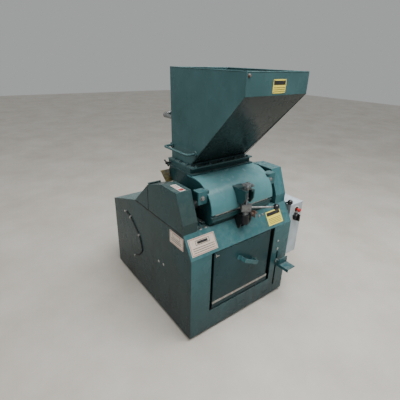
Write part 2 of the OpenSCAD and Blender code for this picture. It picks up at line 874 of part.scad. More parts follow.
module clamp_bracket() {
    half = 36;
    slot = bolt_r + 3;
    rib = 10;
    y0 = bolt_y - 22;
    color(dark_teal) place() difference() {
        union() {
            along_x(bolt_x - half, bolt_x + half)
                polygon([[y0, bracket_z1 - 12], [120, bracket_z1 - 12], [120, bracket_z1],
                    [y0, bracket_z1]]);
            for (x = [bolt_x - half, bolt_x + half - rib])
                along_x(x, x + rib)
                    polygon([[y0, bracket_z1], [y0, bracket_z0 + 34], [y0 + 18, bracket_z0],
                        [90, bracket_z0], [120, bracket_z1]]);
        }
        span([bolt_x - slot, y0 - eps, 0], [bolt_x + slot, bolt_y + slot, base_d]);
        x_bar(0, base_w, axis_y, axis_z, cover_r);
    }
}

// A round bar bent to a U: two legs along +X, the back parallel to Y.
module u_bar(reach, length, r, bend) {
    for (y = [0, length]) x_bar(0, reach - bend, y, 0, r);
    y_bar(reach, bend, length - bend, 0, r);
    for (corner = [[bend, -90], [length - bend, 0]])
        translate([reach - bend, corner[0], 0]) rotate(corner[1])
            rotate_extrude(angle = 90) translate([bend, 0]) circle(r = r);
}

// Round bar handle with two bosses on the hopper's left wall.
handle_z = 1090;
handle_reach = 60;
handle_bar = 7;
handle_bend = 18;
grab_y0 = 252;
grab_y1 = 492;
module grab_handle() {
    boss = 8;
    color(dark_teal) place() {
        translate([hopper_x0 - boss, grab_y1, handle_z]) rotate(180)
            u_bar(handle_reach - boss, grab_y1 - grab_y0, handle_bar, handle_bend);
        for (y = [grab_y0, grab_y1]) x_bar(hopper_x0 - boss, hopper_x0, y, handle_z, 16);
    }
}

loop_bar = 13;
loop_bend = 30;
loop_reach = 114;
loop_x0 = 218;
loop_x1 = 328;
loop_z = 1272;
loop_roll = 11;
module rear_handle() {
    color(dark_teal) place() difference() {
        translate([loop_x1, neck_y1, loop_z]) rotate([0, -loop_roll, 0]) rotate(90)
            u_bar(hopper_y1 - neck_y1 + loop_reach, loop_x1 - loop_x0, loop_bar, loop_bend);
        along_x(hopper_x0, hopper_x1) polygon(hopper_outline);
    }
}

plate_t = 1;
module hopper_plate() {
    color([0.91, 0.86, 0.42]) place()
        span([377, -hopper_front - plate_t, 1437], [467, -hopper_front, 1499]);
}

// Clamp at the front ---------------------------------------------------------

// Socket on the fixed half that takes the foot of the clamp screw, the plates
// that carry it down to the sloping strip, and the guide of the latch pin.
module clamp_socket() {
    half = 22;
    gusset_t = 10;
    bevel_dir = side_dir([0, bevel_z], [bevel_y, deck_z]);
    foot = [0, bevel_z] + bevel_dir * 84;
    color([0.13, 0.14, 0.15]) place() difference() {
        union() {
            z_bar(bolt_x, bolt_y, socket_z0, socket_z1, socket_r);
            span([bolt_x - half, bolt_y, socket_z0 + 6], [bolt_x + half, house_y0, socket_z1 - 8]);
            for (x = [bolt_x - half, bolt_x + half - gusset_t, latch_x - gusset_t / 2])
                along_x(x, x + gusset_t)
                    polygon([[bolt_y + 4, socket_z1 - 14], [house_y0, socket_z1 - 8],
                        [house_y0, 745], [80, deck_z], [bevel_y, deck_z], foot,
                        foot - [10, -6], [bolt_y + 4, socket_z0 + 4]]);
            span([bolt_x, house_y0 - 10, 742], [latch_x + gusset_t / 2, house_y0, socket_z1 - 8]);
        }
        z_bar(bolt_x, bolt_y, socket_z0 + 10, socket_z1 + eps, bolt_r + socket_gap);
        x_bar(latch_x - gusset_t, latch_x + gusset_t, latch_y, latch_z, latch_r + run_gap);
    }
}

module clamp_screw() {
    color(steel) place() {
        z_bar(bolt_x, bolt_y, socket_z1 - 16, star_z + star_h + 8, bolt_r);
        z_bar(bolt_x, bolt_y, socket_z1 + 1, nut_z0 - 1, 17);
        z_bar(bolt_x, bolt_y, nut_z0 + nut_h + 1, bracket_z0 + 30, 15);
    }
}

module star_knob() {
    lobe = 11;
    color(steel) place() translate([bolt_x, bolt_y, star_z]) difference() {
        union() {
            cylinder(h = star_h, r = 21);
            for (a = [45 : 90 : 315]) rotate(a) translate([25, 0, 0]) cylinder(h = star_h, r = lobe);
            translate([0, 0, bracket_z1 - star_z + fit_gap])
                cylinder(h = star_z - bracket_z1 + eps, r = 16);
        }
        translate([0, 0, -40]) cylinder(h = 80, r = bolt_r + run_gap);
    }
}

module lever_nut() {
    half_x = 28;
    half_y = 18;
    rod_r = 6;
    color(steel) place() translate([bolt_x, bolt_y, nut_z0]) rotate(nut_angle) difference() {
        union() {
            translate([-half_x, -half_y, 0]) cube([2 * half_x, 2 * half_y, nut_h]);
            translate([half_x - 2, 0, nut_h / 2]) rotate([0, 90, 0])
                cylinder(h = lever_reach - half_x - knob_r + 6, r = rod_r);
        }
        translate([0, 0, -eps]) cylinder(h = nut_h + 2 * eps, r = bolt_r + run_gap);
    }
}

module nut_knob() {
    color(black) place() translate([bolt_x, bolt_y, nut_z0 + nut_h / 2]) rotate(nut_angle)
        difference() {
            translate([lever_reach, 0, 0]) sphere(r = knob_r, $fn = 48);
            rotate([0, 90, 0]) cylinder(h = lever_reach - knob_r + 4, r = 6);
        }
}

// Spring latch pin in its guide, with a worn flat finger plate.
module latch_pin() {
    x0 = latch_x - 14;
    plate_x = latch_x + 38;
    color([0.25, 0.16, 0.12]) place() {
        x_bar(x0, x0 + 76, latch_y, latch_z, latch_r);
        along_x(plate_x, plate_x + 6)
            polygon([[latch_y - 14, latch_z - 24], [latch_y + 14, latch_z - 24],
                [latch_y + 10, latch_z + 18], [latch_y - 10, latch_z + 18]]);
    }
}

// T-handled screws that hold the hopper on the throat frame.
screw_z = flange_z + flange_t + frame_h / 2;
module flange_screw(x_tip, x_head) {
    low = min(x_tip, x_head);
    high = max(x_tip, x_head);
    x_bar(low, high, neck_y1 - 18, screw_z, 6);
    translate([x_head, neck_y1 - 18, screw_z]) rotate([30, 0, 0])
        translate([-6, -26, -6]) cube([12, 52, 12]);
}
module flange_screw_left() {
    color(cast) place() flange_screw(cheek_x0 - 4, cheek_x0 - 34);
}
module flange_screw_right() {
    color(cast) place() flange_screw(cheek_x1 + 4, cheek_x1 + 34);
}

// Bin, shelf and pedal ------------------------------------------------------

module bin_shelf() {
    color(dark_teal) place() {
        span([shelf_x0, shelf_y, shelf_z - shelf_t], [shelf_x1, shelf_pin_y - 12, shelf_z]);
        span([shelf_x0, shelf_y, sill_z + 2], [shelf_x1, shelf_y + sheet, shelf_z]);
        for (x = [shelf_x0, shelf_x1 - sheet])
            span([x, shelf_y, shelf_z - 28], [x + sheet, shelf_pin_y - 12, shelf_z]);
        for (x = [shelf_x0, mid_x - 30, shelf_x1 - 60]) {
            x_bar(x, x + 60, shelf_pin_y, shelf_pin_z, shelf_pin_r + 5);
            span([x, shelf_pin_y - 20, shelf_pin_z - 5], [x + 60, shelf_pin_y, shelf_pin_z + 5]);
        }
        x_bar(shelf_x0 - 18, shelf_x1 + 18, shelf_pin_y, shelf_pin_z, shelf_pin_r);
    }
}

module granulate_bin() {
    body_x0 = bin_x0 + 8;
    body_x1 = bin_x1 - 8;
    y0 = bin_y0 + 4;
    front_z0 = bin_z0 + 5;
    color(dark_teal) place() {
        difference() {
            span([body_x0, y0 + 7, bin_z0], [body_x1, y0 + bin_d, bin_z0 + bin_h]);
            span([body_x0 + bin_t, y0 + 7 + bin_t, bin_z0 + bin_t],
                [body_x1 - bin_t, y0 + bin_d - bin_t, bin_z0 + bin_h + eps]);
        }
        difference() {
            span([bin_x0, bin_y0 - 1, front_z0], [bin_x1, y0 + 7, front_z0 + bin_front_h]);
            span([bin_x0 + bin_t, bin_y0 - 1 + bin_t, front_z0 + bin_t],
                [bin_x1 - bin_t, y0 + 7 + eps, front_z0 + bin_front_h - bin_t]);
        }
        for (z = [front_z0 + 40, front_z0 + 200])
            span([body_x0, bin_y0, z], [body_x1, y0 + 8, z + bin_t]);
    }
}

module bin_handle() {
    foot_w = 46;
    bar_w = 26;
    bar_t = 5;
    y1 = bin_y0 - 1;
    color(dark_teal) place() translate([bail_x, y1, bail_z]) rotate([0, bail_tilt, 0]) {
        for (s = [-1, 1]) {
            translate([s * (bail_half + 8) - foot_w / 2, -bar_t, -bar_w / 2])
                cube([foot_w, bar_t, bar_w]);
            translate([s * bail_half - bar_t / 2, -bail_reach, -bar_w / 2])
                cube([bar_t, bail_reach, bar_w]);
        }
        translate([-bail_half - bar_t / 2, -bail_reach, -bar_w / 2])
            cube([2 * bail_half + bar_t, bar_t, bar_w]);
    }
}

module foot_pedal() {
    lip = 22;
    plate = 5;
    color(teal) place() {
        span([tread_x0, tread_y0, tread_z - plate], [tread_x1, tread_y1 + plate, tread_z]);
        span([tread_x0, tread_y1, tread_z - plate], [tread_x1, tread_y1 + plate, tread_z + 44]);
        span([tread_x0, tread_y0, tread_z - lip], [tread_x0 + plate, tread_y1 + plate, tread_z]);
        along_x(slot_x - arm_t / 2, slot_x + arm_t / 2)
            polygon([[tread_y1, tread_z - lip], [0, tread_z - lip], [pedal_y, pedal_z - 14],
                [pedal_y, pedal_z + 14], [0, tread_z + 26], [tread_y1, tread_z + 26]]);
        x_bar(142, 778, pedal_y, pedal_z, pedal_pin_r);
        for (x = [230, 560])
            along_x(x, x + arm_t)
                polygon([[pedal_y, pedal_z - 14], [pedal_y, pedal_z + 14], [roller_y, roller_z + 8],
                    [roller_y, roller_z - 8]]);
        for (x = [225, 555]) x_bar(x, x + 2 * arm_t, roller_y, roller_z, roller_r);
    }
}

module side_lever() {
    ball = [lever_x + 17, 42, 703];
    color(black) place() {
        span([lever_x, lever_y - 9, lever_z - 14], [lever_x + 8, lever_y + 9, lever_z + 96]);
        x_bar(base_w - 18, lever_x + 14, lever_y, lever_z, lever_pin_r);
        x_bar(lever_x, ball[0], lever_y, lever_z + 90, 6);
        hull() {
            translate([ball[0], lever_y, lever_z + 90]) sphere(r = 6, $fn = 16);
            translate(ball) sphere(r = 5, $fn = 16);
        }
        translate(ball) sphere(r = knob_r, $fn = 48);
    }
}

// Control box on the right wall ----------------------------------------------

box_x1 = box_x0 + box_x;
module control_box() {
    x1 = box_x1 - door_t - door_gap;
    color([0.70, 0.73, 0.75]) place() {
        difference() {
            span([box_x0, box_y0, box_z0], [x1, box_y0 + box_y, box_z0 + box_z]);
            span([box_x0 + box_t, box_y0 + box_t, box_z0 + box_t],
                [x1 + eps, box_y0 + box_y - box_t, box_z0 + box_z - box_t]);
            y_bar(stop_x, box_y0 - eps, box_y0 + 4, stop_z, 8 + run_gap);
            y_bar(switch_x, box_y0 - eps, box_y0 + 4, switch_z, 6 + run_gap);
        }
        for (z = [box_z0 + 40, box_z0 + box_z - 60])
            span([base_w, box_y0 + 120, z], [box_x0, box_y0 + box_y - 60, z + 20]);
        for (z = [box_z0 + 60, box_z0 + box_z - 90])
            difference() {
                z_bar(x1 + door_gap / 2, box_y0 + box_y + 5, z, z + 30, 5);
                z_bar(x1 + door_gap / 2, box_y0 + box_y + 5, z - eps, z + 31, 2 + run_gap);
            }
        for (z = [box_z0 + 60, box_z0 + box_z - 90])
            difference() {
                span([x1 - 20, box_y0 + box_y, z], [x1, box_y0 + box_y + 4, z + 30]);
                z_bar(x1 + door_gap / 2, box_y0 + box_y + 5, z - eps, z + 31, 2 + run_gap);
            }
    }
}

module box_door() {
    x0 = box_x1 - door_t;
    pin_x = x0 - door_gap / 2;
    color([0.72, 0.75, 0.77]) place() {
        difference() {
            span([x0, box_y0, box_z0], [box_x1, box_y0 + box_y, box_z0 + box_z]);
            span([x0 - eps, box_y0 + box_t, box_z0 + box_t],
                [box_x1 - box_t, box_y0 + box_y - box_t, box_z0 + box_z - box_t]);
        }
        for (z = [box_z0 + 60, box_z0 + box_z - 90]) {
            z_bar(pin_x, box_y0 + box_y + 5, z - 14, z + 44, 2);
            for (s = [-14, 30.5]) {
                z_bar(pin_x, box_y0 + box_y + 5, z + s, z + s + 13.5, 5);
                span([x0 + 3, box_y0 + box_y, z + s], [x0 + 10, box_y0 + box_y + 8, z + s + 13.5]);
                span([pin_x, box_y0 + box_y + 4, z + s], [x0 + 10, box_y0 + box_y + 8, z + s + 13.5]);
            }
        }
    }
}

module stop_button() {
    color([0.8, 0.1, 0.08]) place() {
        y_bar(stop_x, 3, 15, stop_z, stop_r);
        y_bar(stop_x, 14, box_y0 + 30, stop_z, 8);
    }
}

module rotary_switch() {
    color(black) place() {
        y_bar(switch_x, 12, box_y0 - 2, switch_z, 27);
        span([switch_x - 6, -4, switch_z - 26], [switch_x + 6, 14, switch_z + 26]);
        y_bar(switch_x, 12, box_y0 + 34, switch_z, 6);
    }
}

// Plates, screws and the clipped cable ----------------------------------------

// Puts a plate on the sloping front strip: x from its left edge, s up the slope.
bevel_angle = atan2(deck_z - bevel_z, bevel_y);
module on_bevel(x, s) {
    translate([x, 0, bevel_z]) rotate([bevel_angle, 0, 0]) translate([0, s, 0]) children();
}

module nameplate() {
    color([0.78, 0.72, 0.66]) place() on_bevel(18, 19) difference() {
        cube([180, 98, plate_t]);
        for (x = [7, 173]) for (y = [7, 91]) translate([x, y, -eps]) cylinder(h = 3, r = 2);
    }
}

module side_badge() {
    color([0.78, 0.72, 0.66]) place() along_x(-plate_t, 0)
        polygon([[72, 612], [210, 612], [210, 692], [72, 692]]);
}

module warning_plate() {
    color([0.92, 0.88, 0.48]) place() on_bevel(630, 20) cube([136, 92, plate_t]);
}

module panel_screws() {
    color(steel) place() {
        for (p = [[731, 462], [736, 399]]) y_bar(p[0], -5, 0, p[1], 7);
        for (p = [[349, 391], [290, 399]]) x_bar(-5, 0, p[0], p[1], 7);
        for (x = [572, 603]) on_bevel(x, 108) cylinder(h = 7, r = 7);
        for (x = [126, 160]) translate([x, 88, deck_z]) hex_head(9, 8);
    }
}

// The cable is clipped along the left wall all the way.
cable_r = 4;
cable_x = -cable_r - fit_gap;
cable_path = [[804, 560], [790, 556], [762, 549], [735, 542], [705, 524], [672, 497], [640, 472],
    [613, 453], [596, 420], [585, 385], [578, 354], [588, 330], [612, 302], [645, 272], [687, 248]];

function path_dir(i) =
    let (n = len(cable_path), a = cable_path[max(i - 1, 0)], b = cable_path[min(i + 1, n - 1)])
    (b - a) / norm(b - a);
function tube_ring(i, sides) =
    let (p = cable_path[i], d = path_dir(i))
    [for (k = [0 : sides - 1])
        let (a = k * 360 / sides, across = cable_r * cos(a), out = cable_r * sin(a))
        [cable_x + out, p[0] - d[1] * across, p[1] + d[0] * across]];

module cable() {
    sides = 10;
    n = len(cable_path);
    points = [for (i = [0 : n - 1]) each tube_ring(i, sides)];
    walls = [for (i = [0 : n - 2]) for (k = [0 : sides - 1])
        let (m = (k + 1) % sides)
        [i * sides + k, i * sides + m, (i + 1) * sides + m, (i + 1) * sides + k]];
    first = [for (k = [0 : sides - 1]) sides - 1 - k];
    last = [for (k = [0 : sides - 1]) (n - 1) * sides + k];
    color(black) place() polyhedron(points = points, faces = concat([first], walls, [last]));
}

module cable_clips() {
    color(steel) place() {
        for (i = [3, 7]) {
            p = cable_path[i];
            translate([0, p[0], p[1]]) rotate([atan2(path_dir(i)[1], path_dir(i)[0]), 0, 0]) difference() {
                translate([cable_x - cable_r - 2, -6, -14]) cube([-cable_x + cable_r + 2, 12, 28]);
                translate([cable_x - cable_r - 3, -7, 5 + cable_r]) cube([cable_r + 8.3, 14, 14]);
                translate([cable_x - cable_r - 3, -7, -19 - cable_r]) cube([cable_r + 8.3, 14, 14]);
                translate([cable_x - cable_r - fit_gap, -7, -cable_r - 0.6])
                    cube([-cable_x + cable_r + 1, 14, 2 * cable_r + 1.2]);
            }
        }
        x_bar(-12, 0, cable_path[0][0] + 6, cable_path[0][1] + 1, 9);
        x_bar(-12, 0, cable_path[14][0] + 6, cable_path[14][1] - 3, 9);
    }
}

// Drawing -------------------------------------------------------------------

floor_pads();
base_frame();
left_panel();
right_panel();
front_panel();
deck_plate();
rear_cover();
bin_bay();
lower_housing();
bed_knives();
pillow_blocks();
rotor_bearings();
belt_guard_rear();
flywheel_guard();
housing_hinges();
motor();
drive_belts();
clamp_socket();
nameplate();
side_badge();
warning_plate();
panel_screws();
cable();
cable_clips();
control_box();
belt_guard_front();
guard_hinge_pin();
rotor_shaft();
rotor_core();
rotor_knives();
rotor_pulley();
flywheel();
motor_shaft();
motor_pulley();
screen_cradle();
screen();
upper_housing();
front_cover();
chamber_liner();
throat_frame();
hopper();
clamp_bracket();
grab_handle();
rear_handle();
hopper_plate();
clamp_screw();
star_knob();
lever_nut();
nut_knob();
flange_screw_left();
flange_screw_right();
bin_shelf();
granulate_bin();
bin_handle();
foot_pedal();
side_lever();
latch_pin();
box_door();
stop_button();
rotary_switch();
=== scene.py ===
"""Looks of a beside-the-press granulator: paint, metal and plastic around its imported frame."""

import json
import logging
import math
from dataclasses import dataclass
from enum import Enum
from typing import Callable, Sequence

import bmesh
import bpy
import numpy as np
from mathutils import Matrix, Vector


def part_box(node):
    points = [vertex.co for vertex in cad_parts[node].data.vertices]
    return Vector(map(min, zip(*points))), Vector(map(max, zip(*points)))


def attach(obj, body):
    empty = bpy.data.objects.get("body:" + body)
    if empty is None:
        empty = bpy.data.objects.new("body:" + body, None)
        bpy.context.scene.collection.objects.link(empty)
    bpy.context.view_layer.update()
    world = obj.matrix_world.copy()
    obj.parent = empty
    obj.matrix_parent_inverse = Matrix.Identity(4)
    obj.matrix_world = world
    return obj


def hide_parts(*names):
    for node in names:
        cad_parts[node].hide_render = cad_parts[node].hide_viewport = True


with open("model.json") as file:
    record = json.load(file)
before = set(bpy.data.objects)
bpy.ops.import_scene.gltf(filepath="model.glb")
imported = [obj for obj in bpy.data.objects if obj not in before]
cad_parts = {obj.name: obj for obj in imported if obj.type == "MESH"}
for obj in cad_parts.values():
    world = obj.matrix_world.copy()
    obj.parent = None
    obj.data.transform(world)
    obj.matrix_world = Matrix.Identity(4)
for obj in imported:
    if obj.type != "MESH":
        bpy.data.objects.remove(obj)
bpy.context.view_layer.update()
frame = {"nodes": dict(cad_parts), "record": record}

LOG = logging.getLogger("granulator")
MM = 0.001
MERGE = 2e-6  # points closer than this, in metres, are one point
Vector3 = Sequence[float]
Bar = tuple[float, float, float, float]  # low x, low y, high x and high y
Profile = Sequence[tuple[float, float]]  # heights along an axis and radii, in millimetres
Shape = tuple[np.ndarray, list[list[int]]]  # points in metres, corner numbers of each face
Socket = bpy.types.NodeSocket
Tree = bpy.types.NodeTree


class Axis(Enum):
    """The three axes of the frame; the value is the axis number."""

    X = 0
    Y = 1
    Z = 2


class Wear(Enum):
    """How hard a painted surface has been used; the value scales its chips and scratches."""

    KEPT = 0.35
    USED = 1.0


# Numbers and shapes -------------------------------------------------------------


def linear(code: str) -> tuple[float, float, float, float]:
    """Turns an sRGB hex colour such as "3f6f72" to linear RGBA.

    Args:
        code: Six hex digits.

    Returns:
        Red, green, blue and an alpha of 1.
    """
    parts = (int(code[i:i + 2], 16) / 255 for i in (0, 2, 4))
    channels = [c / 12.92 if c <= 0.04045 else ((c + 0.055) / 1.055) ** 2.4 for c in parts]
    return (channels[0], channels[1], channels[2], 1.0)


def centre_of(node: str) -> np.ndarray:
    """The middle of a CAD node's box, in metres."""
    low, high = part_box(node)
    return (np.array(low) + np.array(high)) / 2


def mesh_object(name: str, points: np.ndarray, faces: list[list[int]], smooth: float = 40.0
                ) -> bpy.types.Object:
    """Makes an object from points and faces, merged, outward and shaded smooth under an angle.

    Args:
        name: Name of the piece.
        points: Points in metres, shape (n, 3).
        faces: Corner numbers of each face.
        smooth: Largest angle between faces, in degrees, that is still shaded smooth.

    Returns:
        The new object, linked to the scene, at the origin.
    """
    mesh = bpy.data.meshes.new(name)
    mesh.from_pydata(points.tolist(), [], faces)
    build = bmesh.new()
    build.from_mesh(mesh)
    bmesh.ops.remove_doubles(build, verts=build.verts, dist=MERGE)
    bmesh.ops.dissolve_degenerate(build, edges=build.edges, dist=MERGE / 2)
    bmesh.ops.recalc_face_normals(build, faces=build.faces)
    build.to_mesh(mesh)
    build.free()
    mesh.shade_smooth()
    mesh.set_sharp_from_angle(angle=math.radians(smooth))
    piece = bpy.data.objects.new(name, mesh)
    bpy.context.scene.collection.objects.link(piece)
    return piece


def grid_faces(rows: int, columns: int, close_rows: bool, close_columns: bool, start: int = 0
               ) -> list[list[int]]:
    """Quads over a grid of rows by columns, joined round where asked.

    Args:
        rows: Number of rows of points.
        columns: Number of points in a row.
        close_rows: Whether the last row joins the first.
        close_columns: Whether the last point of a row joins the first.
        start: Number of the first point.

    Returns:
        Four corner numbers for each quad.
    """
    row = np.arange(rows if close_rows else rows - 1)
    column = np.arange(columns if close_columns else columns - 1)
    r, c = np.meshgrid(row, column, indexing="ij")
    r1, c1 = (r + 1) % rows, (c + 1) % columns
    quads = np.stack([r * columns + c, r * columns + c1, r1 * columns + c1, r1 * columns + c], -1)
    return (quads.reshape(-1, 4) + start).tolist()


def turned(profile: Profile, centre: Vector3, axis: Axis, sides: int = 48,
           lobes: tuple[int, float] = (0, 0.0)) -> Shape:
    """A turned shape: each point of the profile, (height, radius), goes round the axis once.

    The radius at an angle is radius * (1 + depth * cos(count * angle)), so lobes stand out
    where lobes gives a count and a depth.

    Args:
        profile: Heights along the axis and radii, in millimetres.
        centre: Where height 0 is, in metres.
        axis: The axis of turning; heights grow along it.
        sides: Points in a turn.
        lobes: Number of lobes and their depth as a share of the radius.

    Returns:
        Points in metres and faces.
    """
    height, radius = (np.array(column, float) * MM for column in zip(*profile))
    angle = np.linspace(0, 2 * math.pi, sides, endpoint=False)
    round_about = 1 + lobes[1] * np.cos(lobes[0] * angle)
    across = np.stack([radius[:, None] * round_about * np.cos(angle),
                       radius[:, None] * round_about * np.sin(angle)])
    points = np.empty((len(profile), sides, 3))
    first, second = (axis.value + 1) % 3, (axis.value + 2) % 3
    points[..., axis.value] = height[:, None]
    points[..., first], points[..., second] = across
    points += np.array(centre)
    return points.reshape(-1, 3), grid_faces(len(profile), sides, False, True)


def swept(path: np.ndarray, radius: float, up: Vector3, sides: int = 16,
          closed: bool = False) -> Shape:
    """A round bar along a flat path: a circle stands square to the path at each point.

    The circle's point at an angle is path + radius * (cos(angle) * side + sin(angle) * up),
    where side is the path's direction crossed with up. Open ends close to a point.

    Args:
        path: Points in metres, shape (n, 3), all in the plane square to up.
        radius: Radius in metres.
        up: Unit vector square to the path's plane.
        sides: Points in each circle.
        closed: Whether the path joins its own start.

    Returns:
        Points in metres and faces.
    """
    ahead = np.gradient(path, axis=0) if not closed else np.roll(path, -1, 0) - np.roll(path, 1, 0)
    ahead /= np.linalg.norm(ahead, axis=1, keepdims=True)
    side = np.cross(ahead, up)
    side /= np.linalg.norm(side, axis=1, keepdims=True)
    angle = np.linspace(0, 2 * math.pi, sides, endpoint=False)[None, :, None]
    ring = path[:, None] + radius * (np.cos(angle) * side[:, None] + np.sin(angle) * np.array(up))
    if not closed:
        first = np.repeat(path[:1, None], sides, 1)
        last = np.repeat(path[-1:, None], sides, 1)
        ring = np.concatenate([first, ring, last])
    return ring.reshape(-1, 3), grid_faces(len(ring), sides, closed, True)


def rounded_box(low: Vector3, high: Vector3, radius: float, steps: int = 4) -> Shape:
    """A box with round edges: each surface point p moves to q + radius * (p - q) / |p - q|.

    q is p held inside the box shrunk by the radius, so flats stay flat and edges turn round.

    Args:
        low: Low corner in metres.
        high: High corner in metres.
        radius: Edge radius in metres.
        steps: Faces across a quarter round.

    Returns:
        Points in metres and faces.
    """
    low, high = np.array(low, float), np.array(high, float)
    half, middle = (high - low) / 2, (high + low) / 2
    radius = min(radius, half.min() * 0.98)
    inner = half - radius
    turn = radius * np.tan(np.linspace(0, math.pi / 4, steps + 1))
    points, faces, count = [], [], 0
    for axis in range(3):
        a, b = (axis + 1) % 3, (axis + 2) % 3
        lines = [np.concatenate([-inner[k] - turn[::-1], inner[k] + turn]) for k in (a, b)]
        u, v = np.meshgrid(*lines, indexing="ij")
        for sign in (-1, 1):
            face = np.empty(u.shape + (3,))
            face[..., axis], face[..., a], face[..., b] = sign * half[axis], u, v
            held = np.clip(face, -inner, inner)
            out = face - held
            out /= np.linalg.norm(out, axis=-1, keepdims=True)
            points.append((held + radius * out + middle).reshape(-1, 3))
            faces += grid_faces(*u.shape, False, False, count)
            count += u.size
    return np.concatenate(points), faces


def joined(parts: Sequence[Shape]) -> Shape:
    """Puts several shapes into one list of points and faces.

    Args:
        parts: The shapes.

    Returns:
        Points in metres and faces, whose corner numbers count on from shape to shape.
    """
    starts = np.cumsum([0] + [len(points) for points, _ in parts])
    faces = [[corner + int(start) for corner in face]
             for start, (_, shape) in zip(starts, parts) for face in shape]
    return np.concatenate([points for points, _ in parts]), faces


def plate(outline: Sequence[tuple[float, float]], axis: Axis, low: float, high: float) -> Shape:
    """A flat plate: an outline square to an axis, carried from low to high along it.

    Args:
        outline: Corners in order, in millimetres from the base's corner, as the two
            coordinates that follow the axis in the order x, y, z, x.
        axis: The axis square to the plate.
        low: Where the plate starts along the axis, in millimetres.
        high: Where it ends.

    Returns:
        Points in metres and faces.
    """
    count = len(outline)
    points = np.empty((2, count, 3))
    for side, level in enumerate((low, high)):
        points[side, :, axis.value] = level
        points[side, :, [(axis.value + 1) % 3, (axis.value + 2) % 3]] = np.array(outline, float).T
    rim = [[i, (i + 1) % count, count + (i + 1) % count, count + i] for i in range(count)]
    caps = [list(range(count)), list(range(count, 2 * count))]
    return CORNER + points.reshape(-1, 3) * MM, rim + caps


def rotated(shape: Shape, about: Vector3, axis: Axis, degrees: float) -> Shape:
    """Turns a shape about a point and an axis by the right-hand rule.

    With a and b the offsets along the two axes that follow, the new ones are
    a * cos - b * sin and a * sin + b * cos.

    Args:
        shape: The shape.
        about: A point on the axis, in metres.
        axis: The axis.
        degrees: How far to turn.

    Returns:
        Points in metres and faces.
    """
    points, faces = shape
    turn, (a, b) = math.radians(degrees), ((axis.value + 1) % 3, (axis.value + 2) % 3)
    moved = points - np.array(about)
    out = moved.copy()
    out[:, a] = moved[:, a] * math.cos(turn) - moved[:, b] * math.sin(turn)
    out[:, b] = moved[:, a] * math.sin(turn) + moved[:, b] * math.cos(turn)
    return out + np.array(about), faces


# Materials ----------------------------------------------------------------------

EDGE_START, EDGE_FULL = 0.97, 0.80  # cosines of the normal's lean on a worn edge
GAP_START, GAP_FULL = 0.62, 0.12  # openness to the air where painted shade starts, and where it is full
GAP_MOST = 0.85  # share of painted shade in the tightest gap


def add_node(tree: Tree, kind: str, settings: dict | None = None, inputs: dict | None = None
             ) -> bpy.types.Node:
    """Adds one shader node.

    Args:
        tree: The node tree.
        kind: Node type without the "ShaderNode" in front.
        settings: Attribute values.
        inputs: Socket name or number to a constant, or to a socket that feeds it.

    Returns:
        The node.
    """
    node = tree.nodes.new("ShaderNode" + kind)
    for key, value in (settings or {}).items():
        setattr(node, key, value)
    for key, value in (inputs or {}).items():
        if isinstance(value, Socket):
            tree.links.new(value, node.inputs[key])
        else:
            node.inputs[key].default_value = value
    return node


